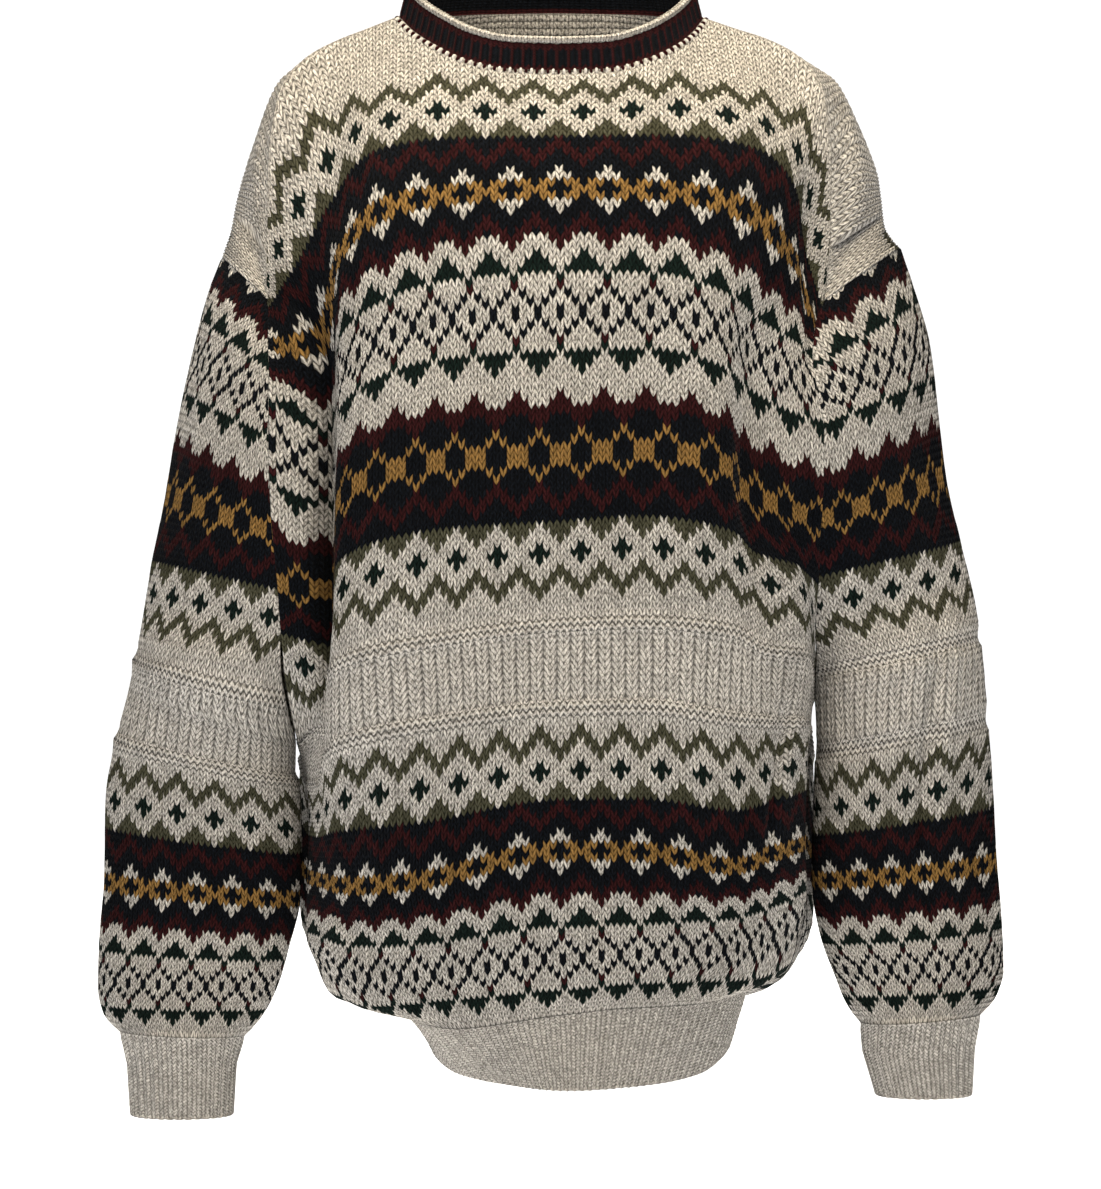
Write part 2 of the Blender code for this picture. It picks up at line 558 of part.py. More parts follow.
def snap_edges(pieces):
    """Lay the edges of each piece on the straight edge spans of the pieces before it."""
    lines = []
    for piece in pieces:
        for line in piece.edges():
            for place in line:
                point = piece.grid[place]
                best, spot = SEAM_REACH, None
                for points, ring in lines:
                    miss, near = nearest_on_line(point, points, points, ring)
                    if miss < best:
                        best, spot = miss, near
                if spot is not None:
                    piece.grid[place] = spot
        for number, line in enumerate(piece.edges()):
            lines.append((piece.grid[tuple(np.array(line).T)], piece.closed and number < 2))
        piece.face_outwards()


def share_seam_normals(pieces):
    """Give the edges that meet at a seam one common direction of thickness."""
    lines = []
    for owner, piece in enumerate(pieces):
        for number, line in enumerate(piece.edges()):
            places = tuple(np.array(line).T)
            ring = piece.closed and number < 2
            lines.append((owner, number, piece.grid[places], piece.normal[places], ring))
    changes = []
    for owner, piece in enumerate(pieces):
        for number, line in enumerate(piece.edges()):
            for place in line:
                point, own = piece.grid[place], piece.normal[place]
                total = own.copy()
                for other, other_number, points, normals, ring in lines:
                    same = other == owner
                    if same and (piece.closed or {number, other_number} != {2, 3}):
                        continue
                    miss, normal = nearest_on_line(point, points, normals, ring)
                    normal = normal / max(np.linalg.norm(normal), 1e-9)
                    if miss < MITRE_REACH and np.dot(own, normal) > FOLDED_FLAT:
                        total += normal
                size = np.linalg.norm(total)
                if size > 0.2:
                    shared = total / size
                    turn = np.dot(own, shared)
                    reach = min(1 / max(turn, MITRE_LIMIT), max(turn, 0.25) / MITRE_LIMIT ** 2)
                    changes.append((piece, place, shared * reach))
    for piece, place, normal in changes:
        piece.normal[place] = normal


def wall(piece):
    """Closed wall of a piece, outer and inner faces and the rims between them."""
    grid = trimmed(piece.grid, piece.gaps, piece.closed)
    closed = piece.closed
    outer = grid + piece.normal * (piece.thickness / 2 + piece.raised)[..., None]
    inner = grid - piece.normal * piece.thickness / 2
    count_r, count_c = grid.shape[:2]
    points = np.concatenate([outer.reshape(-1, 3), inner.reshape(-1, 3)]) * MM
    half = count_r * count_c
    faces = []
    spans = count_c if closed else count_c - 1
    for row in range(count_r - 1):
        for col in range(spans):
            nxt = (col + 1) % count_c
            a, b = row * count_c + col, row * count_c + nxt
            c, d = a + count_c, b + count_c
            faces.append((a, c, d, b))
            faces.append((half + a, half + b, half + d, half + c))
    for row, flip in ((0, False), (count_r - 1, True)):
        for col in range(spans):
            nxt = (col + 1) % count_c
            a, b = row * count_c + col, row * count_c + nxt
            face = (a, b, half + b, half + a)
            faces.append(face[::-1] if flip else face)
    if not closed:
        for col, flip in ((0, True), (count_c - 1, False)):
            for row in range(count_r - 1):
                a = row * count_c + col
                b = a + count_c
                face = (a, b, half + b, half + a)
                faces.append(face[::-1] if flip else face)
    return add_body(piece.name, points, faces)


def add_body(name, points, faces):
    """Named closed body from points and faces, facing outwards."""
    mesh = bpy.data.meshes.new(name)
    mesh.from_pydata([tuple(p) for p in points], [], faces)
    if signed_volume(mesh) < 0:
        mesh.flip_normals()
    mesh.polygons.foreach_set("use_smooth", [True] * len(mesh.polygons))
    mesh.update()
    body = bpy.data.objects.new(name, mesh)
    body.data.materials.append(wool(name))
    bpy.context.scene.collection.objects.link(body)
    return body


def signed_volume(mesh):
    """Volume of a closed mesh, negative when its faces point inwards."""
    mesh.calc_loop_triangles()
    points = np.array([v.co[:] for v in mesh.vertices])
    corners = np.array([t.vertices[:] for t in mesh.loop_triangles])
    a, b, c = points[corners[:, 0]], points[corners[:, 1]], points[corners[:, 2]]
    return float(np.einsum("ij,ij->i", a, np.cross(b, c)).sum() / 6)


def wool(piece_name):
    """Matt wool of one piece, in the average colour of its pattern."""
    words, colour = YARN[piece_name]
    result = bpy.data.materials.new(words)
    result.use_nodes = True
    shader = result.node_tree.nodes["Principled BSDF"]
    shader.inputs["Base Color"].default_value = (*colour, 1.0)
    shader.inputs["Roughness"].default_value = WOOL_ROUGHNESS
    shader.inputs["Metallic"].default_value = 0.0
    return result


ALL_SIDES = (SEAM_GAP, SEAM_GAP, SEAM_GAP, SEAM_GAP)
ENDS_AND_TOP = (SEAM_GAP, SEAM_GAP, SEAM_GAP, 0)
RIB_TOP = (0, 0, RIB_SEAM_GAP, 0)


def panels():
    """Front and back panels."""
    lanes = [0, 6, 12, 16, 19.5, 24, 28, 31.5, 34, 36, 39, 42, 44.5, 46.5, 48.5, 51, 54.5]
    lanes = [-s for s in lanes[:0:-1]] + lanes
    top_parts = [0, 0.14, 0.32, 0.54, 0.77]
    courses = [17, 22, 27, 33, 40, 47, 54, 61, 67, 72, 77, 83, 89, 96, 104, 112, 120, 127, 132, 136, 139]
    front = panel_grid("front", lanes, top_parts, courses)
    lanes = [0, 8, 14, 17, 19.5, 24, 28, 31.5, 34, 36, 39, 42, 44.5, 48.5, 51, 54.5]
    lanes = [-s for s in lanes[:0:-1]] + lanes
    top_parts = [0, 0.1, 0.22, 0.36, 0.5, 0.64, 0.82]
    courses = [12, 16, 20, 24, 29, 36, 45, 54, 62, 70, 74, 77, 83, 89, 96, 104, 112, 120, 127, 132, 136, 139]
    back = panel_grid("back", lanes, top_parts, courses)
    return [Piece("front", front, (0, -1, 0), WALL, gaps=ALL_SIDES),
            Piece("back", back, (0, 1, 0), WALL, gaps=ALL_SIDES)]


def sleeves():
    """Sleeves, open along the underarm seam."""
    courses = [21, 24, 28, 33, 39, 46, 53, 60, 66, 71, 75, 79, 83, 87, 91, 96, 103, 112, 120, 127, 132, 136, 139]
    even = np.linspace(-1, 1, 19)
    turns = 0.55 * even + 0.45 * np.sin(even * math.pi / 2)
    return [Piece("sleeve_" + side, [sleeve_ring(side, course, turns) for course in courses],
                  (sign, 0, 0), WALL, gaps=ALL_SIDES)
            for side, sign in (("left", -1), ("right", 1))]


def rib_lift(courses, columns):
    """Outer lift of alternate columns, one rib to every two columns."""
    wave = np.where(np.arange(columns) % 2 == 0, RIB_RAISE, 0.0)
    return np.tile(wave, (courses, 1))


def hem_ribs():
    """Front and back hem ribs, down from the last course of each panel."""
    parts = [0, 0.5, 1]
    count = 2 * HEM_RIBS + 1
    stitches = np.linspace(-HALF_STITCHES, HALF_STITCHES, count)
    result = []
    for face, table, outward in (("front", HEM_FRONT, (0, -1, 0)), ("back", HEM_BACK, (0, 1, 0))):
        course = np.full((1, count), HEM_COURSE)
        top = panel_points(face, stitches[None, :], course)[0]
        bottom = along(table, "stitch", stitches)
        grid = [top + (bottom - top) * part for part in parts]
        result.append(Piece("hem_rib_" + face, grid, outward, RIB_WALL,
                            raised=rib_lift(len(parts), count), gaps=ENDS_AND_TOP))
    return result


def cuffs():
    """Ribbed cuffs, closed rings down from the last course of each sleeve."""
    count = 2 * CUFF_RIBS
    turns = 1 - 2 * np.arange(count) / count
    result = []
    for side, sign in (("left", -1), ("right", 1)):
        table = SIDES[side]["cuff"]
        top = sleeve_ring(side, HEM_COURSE, turns)
        grid = [top]
        for drop in column(table, "drop"):
            centre = along(table, "drop", drop)[0]
            wide = float(lookup(table, "drop", "half_width", drop)[0])
            deep = float(lookup(table, "drop", "half_depth", drop)[0])
            angles = turns * math.pi
            ring = np.stack([centre[0] + sign * wide * np.cos(angles), centre[1] - deep * np.sin(angles),
                             np.full(count, centre[2])], axis=1)
            grid.append(ring)
        result.append(Piece("cuff_" + side, grid, (sign, 0, 0), RIB_WALL, closed=True,
                            raised=rib_lift(len(grid), count), gaps=RIB_TOP))
    return result


def neck_line(turns):
    """Seam line of the neckband; turn 0 and 1 at the front, 0.5 at the back."""
    points = []
    for turn in turns:
        place = turn % 1.0
        face = "front" if place < 0.25 or place > 0.75 else "back"
        side = "right" if place < 0.5 else "left"
        if face == "front":
            stitch = NECK_STITCH * (place / 0.25 if place < 0.25 else (1 - place) / 0.25)
        else:
            stitch = NECK_STITCH * (0.5 - place if place < 0.5 else place - 0.5) / 0.25
        points.append(along(SIDES[side]["neck_" + face], "stitch", stitch)[0])
    return np.array(points)


def neck_rings(count, heights):
    """Rings of the neckband from its seam upwards, and the way inwards at each point."""
    fine = np.linspace(0, 1, 401)
    line = neck_line(fine)
    length = np.concatenate([[0], np.cumsum(np.linalg.norm(np.diff(line, axis=0), axis=1))])
    turns = np.interp(np.arange(count) / count * length[-1], length, fine)
    base = neck_line(turns)
    inward = np.array(NECK_MIDDLE) - base
    inward[:, 2] = 0
    inward /= np.linalg.norm(inward, axis=1, keepdims=True)
    rise = lookup(NECKBAND, "turn", "rise", turns)[:, None]
    lean = lookup(NECKBAND, "turn", "lean", turns)[:, None]
    up = np.array([0, 0, 1.0])
    return np.array([base + up * rise * h + inward * lean * h for h in heights]), inward


def neckbands():
    """Ribbed neckband, a closed ring standing on the neck seam."""
    count = 2 * NECK_RIBS
    grid, inward = neck_rings(count, (0.0, 0.5, 1.0))
    return [Piece("neckband", grid, -inward[count // 2], RIB_WALL, closed=True,
                  raised=rib_lift(3, count), gaps=RIB_TOP)]


def make_neck_roll():
    """Rolled edge along the top of the neckband, a closed ring of round section."""
    segments, sides = 56, 6
    ring, inward = neck_rings(segments, (1.0,))
    centre = ring[0] + np.array([0, 0, NECK_ROLL + SEAM_GAP])
    points = []
    for index in range(segments):
        for side in range(sides):
            angle = 2 * math.pi * (side + 0.5) / sides
            points.append(centre[index] - inward[index] * NECK_ROLL * math.cos(angle)
                          + np.array([0, 0, NECK_ROLL * math.sin(angle)]))
    faces = []
    for index in range(segments):
        nxt = (index + 1) % segments
        for side in range(sides):
            beyond = (side + 1) % sides
            faces.append((index * sides + side, nxt * sides + side, nxt * sides + beyond, index * sides + beyond))
    add_body("neck_roll", np.array(points) * MM, faces)


def clear_scene():
    """Remove whatever the scene holds at the start."""
    for item in list(bpy.data.objects):
        bpy.data.objects.remove(item, do_unlink=True)


def build():
    """Make every piece."""
    clear_scene()
    pieces = panels() + sleeves() + hem_ribs() + cuffs() + neckbands()
    snap_edges(pieces)
    share_seam_normals(pieces)
    for piece in pieces:
        wall(piece)
    make_neck_roll()


build()
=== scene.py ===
"""Fair isle jumper, knitted stitch by stitch over its filled-out form.

Lengths in the tables are millimetres, the frame's units are metres. +Z is up and the
front faces -Y; left and right are as seen from the front. Courses are counted down from
the first patterned row, stitches outwards from the middle of a panel or sleeve.
"""

import math  # noqa: E402
from collections import Counter, namedtuple  # noqa: E402
from functools import lru_cache  # noqa: E402

import bpy  # noqa: E402
import numpy as np  # noqa: E402
from bpy.props import FloatProperty, FloatVectorProperty, IntProperty, PointerProperty  # noqa: E402
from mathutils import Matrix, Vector, kdtree  # noqa: E402


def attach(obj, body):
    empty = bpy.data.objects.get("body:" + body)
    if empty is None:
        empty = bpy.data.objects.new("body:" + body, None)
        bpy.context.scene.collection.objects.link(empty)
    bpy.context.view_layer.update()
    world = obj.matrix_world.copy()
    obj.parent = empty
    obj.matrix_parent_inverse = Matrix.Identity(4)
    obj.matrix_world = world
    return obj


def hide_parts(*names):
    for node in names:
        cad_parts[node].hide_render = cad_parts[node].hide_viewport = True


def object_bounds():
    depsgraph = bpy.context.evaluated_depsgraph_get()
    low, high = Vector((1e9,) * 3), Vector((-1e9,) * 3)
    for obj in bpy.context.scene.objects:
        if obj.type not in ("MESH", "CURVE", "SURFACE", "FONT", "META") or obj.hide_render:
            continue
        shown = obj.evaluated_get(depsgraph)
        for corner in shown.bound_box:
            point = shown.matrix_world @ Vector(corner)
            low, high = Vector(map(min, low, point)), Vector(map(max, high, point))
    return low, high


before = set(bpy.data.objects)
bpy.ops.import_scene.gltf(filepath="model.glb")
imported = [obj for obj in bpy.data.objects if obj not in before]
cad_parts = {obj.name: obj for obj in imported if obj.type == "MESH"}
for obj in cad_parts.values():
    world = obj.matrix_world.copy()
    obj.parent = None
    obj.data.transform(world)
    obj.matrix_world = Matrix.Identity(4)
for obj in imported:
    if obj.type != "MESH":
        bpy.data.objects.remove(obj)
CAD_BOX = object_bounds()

bl_info = {
    "name": "Fair isle jumper",
    "version": (1, 0, 0),
    "blender": (4, 5, 0),
    "location": "View3D > Sidebar > Jumper",
    "description": "Knits a fair isle jumper over the solids of its form",
    "category": "Object",
}

MM = 0.001

# ---------------------------------------------------------------- sizes of the knit
HALF_WALL = 1.5            # half of the thickness of the stranded cloth
RIB_HALF_WALL = 1.3
HALF_STITCHES = 54.5
NECK_STITCH = 19.5
UNDERARM_COURSE = 77.0
HEM_COURSE = 139.0
CAP_COURSE = 21.0
CAP_END_COURSE = 20.0
SLEEVE_JOIN_COURSE = 83.0
BACK_CORNER_COURSE = -10.0
UNDERARM_SPREAD = 3.6
SLEEVE_HALF_STITCHES = 41.5
HEM_RIBS = 56
HEM_RIB_COURSES = 12
CUFF_RIBS = 34
CUFF_RIB_COURSES = 12
NECK_RIBS = 74
NECKBAND_COURSES = 5
NECK_ROLL = 2.4
ROLL_LIFT = 0.4            # the roll stands this far clear of the band
ROLL_CORE = 0.96           # share of the roll's radius that lies under its loops
NECK_SEAM_POINTS = 240     # points along the line of the stitches picked up round the neck
PICKED_UP_LENGTH = 1.9     # half length of a picked up stitch, in radii of its yarn
JOIN_RELIEF = 1.4          # relief where a rib is joined on, for each millimetre that it is thinner
FLOOR_RADIUS = 14.0        # metres
FLOOR_SIDES = 48
SEAM_REACH = 2.6           # edges nearer than this lean the same way
FOLDED_FLAT = -0.5         # but not where their faces look at each other
NECK_MIDDLE = (3.0, -8.0, 0.0)
VEE = 0.38                 # how far a stitch dips in its middle, in courses
SLEEVE_SHIFT = {"left": 2, "right": 0}    # stitches between the outermost line and the repeat
UV_SCALE = (128.0, 256.0)  # stitches and courses to one unit of the stitch map

Line = namedtuple("Line", "course x y z")
Mark = namedtuple("Mark", "stitch x y z")
Section = namedtuple("Section", "course mid crest groove strip")
Seam = namedtuple("Seam", "stitch front_course back_course x y z")
Armhole = namedtuple("Armhole", "body_course sleeve_course x y z")
Outer = namedtuple("Outer", "course x y z")
Ring = namedtuple("Ring", "course front_depth back_depth sweep")


def rows(kind, *table):
    """Table rows as named tuples."""
    return [kind(*row) for row in table]


def sections(*table):
    """Panel sections, each with four marks between its middle and its edge."""
    return [Section(row[0], *[Mark(*mark) for mark in row[1:]]) for row in table]


# Middle of the front, course by course
FRONT_CENTRE = rows(
    Line,
    (12, 6, -113, -97),
    (24, 7, -127, -146),
    (36, 7, -132, -203),
    (54, 7, -136, -288),
    (69, 7, -135, -352),
    (77, 7, -134, -386),
    (88, 7, -133, -432),
    (99, 7, -131, -481),
    (112, 7, -128, -530),
    (124, 8, -124, -579),
    (130, 9, -120, -602),
    (135, 10, -116, -621),
    (139, 10, -112, -632),
)

# Front, left of the middle: a deep fold runs from the shoulder to below the arm
FRONT_LEFT = sections(
    (12, (15, -68, -104, -98), (24, -110, -88, -104), (34, -134, -74, -133), (44, -157, -64, -172)),
    (24, (15.5, -67, -120, -151), (34, -128, -100, -184), (46.5, -137, -60, -240), (50, -157, -70, -240)),
    (36, (17, -67, -124, -208), (35, -128, -100, -239), (46.5, -137, -54, -296), (50, -155, -72, -292)),
    (54, (17.5, -67, -128, -292), (35.5, -129, -101, -315), (46.5, -137, -52, -371), (50, -154, -68, -369)),
    (69, (18, -68, -127, -358), (35.5, -131, -100, -379), (46.5, -136, -54, -427), (50, -150, -60, -423)),
    (77, (18, -68, -126, -395), (35.5, -134, -96, -415), (46, -139, -54, -456), (50, -147, -42, -456)),
    (88, (18.5, -68, -124, -441), (36, -137, -88, -461), (44.5, -144, -50, -486), (50, -152, -24, -489)),
    (99, (19, -71, -118, -492), (36.5, -135, -76, -504), (44, -144, -48, -514), (49.5, -152, -16, -516)),
    (112, (21, -80, -108, -550), (36, -130, -72, -556), (42.5, -144, -46, -555), (49, -154, -10, -556)),
    (124, (21.5, -75, -102, -591), (36, -125, -74, -596), (43, -145, -46, -592), (49, -155, -12, -592)),
    (130, (21.5, -72, -98, -614), (36, -120, -74, -618), (43, -139, -46, -612), (49, -149, -12, -610)),
    (135, (22, -68, -96, -630), (35.5, -108, -72, -634), (42.5, -126, -46, -631), (48.5, -135, -14, -632)),
    (139, (22, -60, -92, -643), (35, -86, -70, -638), (42, -96, -44, -625), (48, -99, -14, -619)),
)

# Front, right of the middle: a shallower fold that dies out at the waist
FRONT_RIGHT = sections(
    (12, (15, 81, -104, -96), (25, 130, -88, -102), (33, 152, -74, -124), (43, 160, -60, -157)),
    (24, (12, 66, -122, -147), (24, 117, -104, -160), (31, 139, -88, -176), (39, 155, -74, -190)),
    (36, (12, 62, -128, -202), (23.5, 110, -112, -214), (29.5, 121, -96, -222), (38, 148, -84, -237)),
    (54, (12, 58, -132, -285), (24.5, 110, -114, -295), (29, 118, -96, -307), (38, 144, -84, -318)),
    (69, (12, 57, -131, -349), (26, 115, -108, -357), (31, 130, -94, -369), (39, 160, -66, -376)),
    (77, (12, 57, -130, -384), (26, 115, -106, -390), (32, 133, -94, -402), (40, 162, -60, -407)),
    (88, (12, 57, -129, -431), (26.5, 115, -104, -440), (34, 139, -88, -444), (42, 163, -52, -447)),
    (99, (12, 56, -127, -480), (27, 117, -100, -487), (36, 142, -84, -483), (44, 162, -44, -481)),
    (112, (12, 56, -122, -531), (27, 115, -98, -542), (37, 142, -78, -535), (46, 162, -36, -532)),
    (124, (12, 56, -116, -578), (27, 111, -92, -577), (38, 140, -72, -571), (47, 163, -28, -565)),
    (130, (12, 55, -112, -600), (27, 108, -88, -600), (38, 137, -66, -595), (47, 159, -24, -590)),
    (135, (12, 53, -108, -618), (27, 98, -86, -619), (37, 127, -64, -620), (47, 149, -22, -616)),
    (139, (12, 49, -104, -629), (26, 89, -84, -629), (36, 110, -62, -627), (46, 124, -24, -622)),
)

BACK_CENTRE = rows(
    Line,
    (-10, 3, 68, -22),
    (0, 3, 80, -67),
    (12, 3, 92, -121),
    (24, 3, 100, -175),
    (36, 3, 105, -228),
    (54, 3, 108, -308),
    (69, 3, 110, -373),
    (77, 3, 111, -408),
    (88, 3, 112, -454),
    (99, 3, 113, -500),
    (112, 3, 113, -554),
    (124, 3, 110, -603),
    (130, 3, 106, -627),
    (135, 3, 100, -646),
    (139, 3, 96, -656),
)

# Back, right half; the left half mirrors it and is drawn in by LEFT_PULL
BACK_HALF = sections(
    (-10, (19.5, 100, 48, -14), (28, 144, 36, -23), (34, 184, 4, -39), (42, 200, -36, -106)),
    (0, (19.5, 101, 74, -54), (28, 148, 68, -55), (34, 188, 46, -61), (42, 213, 8, -104)),
    (12, (19.5, 102, 88, -108), (30, 148, 82, -111), (38, 188, 64, -119), (46, 206, 46, -142)),
    (24, (19, 90, 97, -169), (31, 140, 90, -174), (42, 158, 58, -194), (49, 176, 64, -206)),
    (36, (18, 84, 102, -231), (32, 139, 90, -238), (44, 142, 50, -262), (50, 164, 62, -270)),
    (54, (18, 84, 106, -311), (32, 138, 93, -320), (44, 138, 52, -346), (50, 158, 62, -354)),
    (69, (18, 84, 107, -377), (32, 138, 95, -386), (44, 146, 58, -410), (50, 158, 50, -416)),
    (77, (18, 84, 108, -411), (33, 140, 95, -420), (43, 154, 64, -434), (49, 161, 34, -446)),
    (88, (18, 82, 109, -457), (33, 140, 96, -463), (42, 161, 68, -470), (48, 167, 38, -474)),
    (99, (18, 82, 110, -503), (33, 140, 97, -506), (41, 163, 76, -510), (48, 168, 46, -508)),
    (112, (18, 82, 110, -556), (33, 140, 97, -556), (41, 164, 78, -556), (48, 170, 50, -550)),
    (124, (18, 80, 106, -604), (33, 138, 93, -602), (41, 163, 74, -598), (48, 170, 48, -590)),
    (130, (18, 76, 102, -628), (33, 130, 89, -624), (41, 155, 70, -618), (48, 165, 46, -608)),
    (135, (18, 68, 96, -648), (33, 116, 82, -644), (41, 138, 66, -638), (48, 148, 42, -628)),
    (139, (18, 58, 90, -656), (33, 96, 72, -649), (41, 112, 54, -640), (48, 122, 32, -628)),
)
LEFT_PULL = rows(
    namedtuple("Pull", "course factor"), (-10, 0.94), (0, 0.93), (12, 0.96), (24, 1.0), (69, 1.0),
    (88, 0.95), (124, 0.94), (130, 0.92), (135, 0.9), (139, 0.86))

# Neck and shoulder seam: the seam lies well forward of the shoulder ridge
NECK_FRONT_LEFT = rows(
    Mark, (0, 6, -78, -46), (6, -26, -74, -44), (11, -51, -64, -37), (15, -71, -46, -25),
    (17.5, -85, -30, -14), (19.5, -96, -12, -1))
NECK_FRONT_RIGHT = rows(
    Mark, (0, 6, -78, -46), (6, 37, -74, -44), (11, 62, -64, -36), (15, 81, -46, -24),
    (17.5, 91, -30, -14), (19.5, 99, -12, -2))
NECK_BACK_LEFT = rows(
    Mark, (0, 3, 56, 14), (6, -27, 53, 13), (11, -51, 44, 11), (15, -73, 28, 7),
    (17.5, -87, 10, 3), (19.5, -96, -12, -1))
NECK_BACK_RIGHT = rows(
    Mark, (0, 3, 56, 14), (6, 33, 53, 13), (11, 57, 44, 11), (15, 78, 28, 7),
    (17.5, 91, 10, 2), (19.5, 99, -12, -2))
NECK_COURSE = rows(
    namedtuple("NeckCourse", "stitch front_course back_course"),
    (0, -2.5, -18), (6, -2.5, -18), (11, -3, -18.5), (15, -5.5, -20), (17.5, -8.5, -22), (19.5, -14, -24))
SHOULDER_LEFT = rows(
    Seam, (19.5, -14, -24, -96, -12, -1), (24, -12, -23, -116, -13, -9), (28.5, -9.5, -21.5, -137, -17, -18),
    (32, -7, -20, -157, -25, -31), (35, -4.5, -19, -171, -38, -53), (39, -2, -17, -177, -48, -97),
    (45, 2, -14, -178, -54, -144), (51, 6, -11.5, -178, -58, -176), (54.5, 8, -10, -177, -60, -188))
SHOULDER_RIGHT = rows(
    Seam, (19.5, -14, -24, 99, -12, -2), (24, -12, -23, 119, -13, -9), (28.5, -9.5, -21.5, 141, -17, -17),
    (32, -7, -20, 161, -26, -30), (35, -4.5, -19, 174, -40, -52), (39, -2, -17, 178, -50, -97),
    (45, 2, -14, 178, -54, -139), (51, 6, -11.5, 175, -59, -173), (54.5, 8, -10, 173, -62, -189))

# Armhole seams, from the shoulder corner down to the underarm
ARM_FRONT_LEFT = rows(
    Armhole, (8, 21, -177, -60, -188), (19, 27, -177, -69, -216), (27, 31, -176, -74, -235),
    (36, 42, -176, -77, -280), (43, 49, -175, -76, -314), (54, 62.5, -171, -70, -366),
    (68, 74, -168, -58, -415), (74, 80, -164, -34, -450), (77, 83, -162, -6, -469))
ARM_FRONT_RIGHT = rows(
    Armhole, (8, 21, 173, -62, -189), (20, 25, 167, -69, -206), (32, 30, 166, -76, -230),
    (36.5, 34, 168, -79, -246), (42, 42, 172, -79, -272), (49, 49, 172, -74, -306),
    (60, 61, 170, -58, -352), (70, 74, 169, -34, -405), (77, 83, 170, -6, -441))
ARM_BACK_LEFT = rows(
    Armhole, (20, 21, -197, 58, -184), (29, 34, -188, 74, -236), (40, 46, -182, 78, -296),
    (56, 62, -176, 72, -362), (68, 74, -170, 52, -415), (74, 80, -165, 20, -456), (77, 83, -162, -6, -469))
ARM_BACK_RIGHT = rows(
    Armhole, (20, 21, 210, 58, -180), (29, 34, 197, 74, -230), (40, 46, 188, 78, -286),
    (56, 62, 182, 72, -350), (68, 74, 176, 50, -398), (74, 80, 171, 22, -430), (77, 83, 170, -6, -441))
# The front is narrowest beside the right arm
RIGHT_EDGE = rows(
    namedtuple("Edge", "course stitch"), (8, 54.5), (14, 51.5), (20, 47.5), (27, 45), (46, 45),
    (54, 46.5), (62, 49), (69, 51.5), (77, 54.5))

# Side seams, below the underarm
SIDE_LEFT = rows(
    Line, (77, -162, -6, -469), (88, -158, 6, -489), (99, -156, 20, -518), (112, -157, 28, -558),
    (124, -157, 28, -595), (130, -151, 26, -612), (135, -137, 20, -634), (139, -99, 12, -624))
SIDE_RIGHT = rows(
    Line, (77, 170, -6, -441), (88, 168, -5, -458), (99, 166, -2, -486), (112, 165, 4, -534),
    (124, 166, 8, -568), (130, 163, 8, -591), (135, 154, 6, -617), (139, 130, 6, -622))

# Sleeves: the outermost line, the underarm line and the depth of each ring
SLEEVE_OUTER_LEFT = rows(
    Outer, (21, -210, -4, -156), (27, -219, -4, -180), (36, -230, -4, -223), (46, -239.5, -4, -268),
    (54, -246.5, -4, -309), (64, -255.5, -4, -354), (75, -263.5, -4, -402), (83, -270.5, -4, -435),
    (93, -281.5, -4, -479), (99, -285.5, -4, -505), (112, -286.5, -4, -559), (121, -289.5, -4, -594),
    (130, -290.5, -4, -627), (135, -287.5, -4, -643), (139, -277.5, -4, -655))
SLEEVE_OUTER_RIGHT = rows(
    Outer, (21, 226, -4, -150), (27, 233, -4, -171), (36, 245, -4, -213), (46, 250.5, -4, -259),
    (54, 255.5, -4, -298), (64, 265.5, -4, -342), (75, 275.5, -4, -386), (83, 279.5, -4, -419),
    (93, 283.5, -4, -465), (99, 285.5, -4, -491), (112, 288.5, -4, -547), (121, 291.5, -4, -581),
    (130, 293, -4, -614), (135, 289, -4, -631), (139, 279, -4, -644))
SLEEVE_INNER_LEFT = rows(
    Outer, (83, -165.6, -6, -469), (88, -166, -6, -486), (93, -163, -6, -503), (99, -162, -6, -525),
    (112, -163, -6, -570), (121, -170, -6, -601), (130, -179, -6, -630), (135, -187, -6, -645),
    (139, -198, -6, -658))
SLEEVE_INNER_RIGHT = rows(
    Outer, (83, 173.6, -6, -441), (88, 175, -6, -464), (93, 174, -6, -486), (99, 173, -6, -512),
    (112, 172, -6, -558), (121, 177, -6, -591), (130, 187, -6, -620), (135, 194, -6, -637),
    (139, 203, -6, -650))
SLEEVE_RINGS = rows(
    Ring, (21, 56, 62, 90), (30, 66, 76, 90), (42, 72, 82, 90), (54, 66, 80, 92), (69, 58, 62, 104),
    (76, 53, 54, 138), (83, 47, 48, 174), (88, 43, 44, 178), (93, 39, 40, 180), (99, 35, 36, 180),
    (112, 30, 31, 180), (130, 29, 29, 180), (139, 30, 30, 180))

# Hem ring, stitches counted from the middle of each half
HEM_FRONT = rows(
    Mark, (-54.5, -73, 10, -673), (-46, -68, -22, -674), (-36, -57, -54, -676), (-20, -29, -88, -678),
    (0, 12, -110, -680), (20, 60, -92, -679), (36, 94, -54, -677), (46, 109, -22, -672),
    (54.5, 116, 6, -668))
HEM_BACK = rows(
    Mark, (-54.5, -73, 10, -673), (-46, -73, 42, -678), (-36, -64, 66, -684), (-20, -35, 90, -692),
    (0, 8, 102, -698), (20, 58, 92, -695), (36, 94, 70, -687), (46, 110, 40, -678),
    (54.5, 116, 6, -668))

# Neckband: rise, lean and rolled edge at places round the neck
NECKBAND = rows(
    namedtuple("Band", "turn rise lean"), (0, 17.5, 1.0), (0.25, 17.5, 4.5), (0.5, 17.5, 4.0),
    (0.75, 17.5, 4.5), (1, 17.5, 1.0))

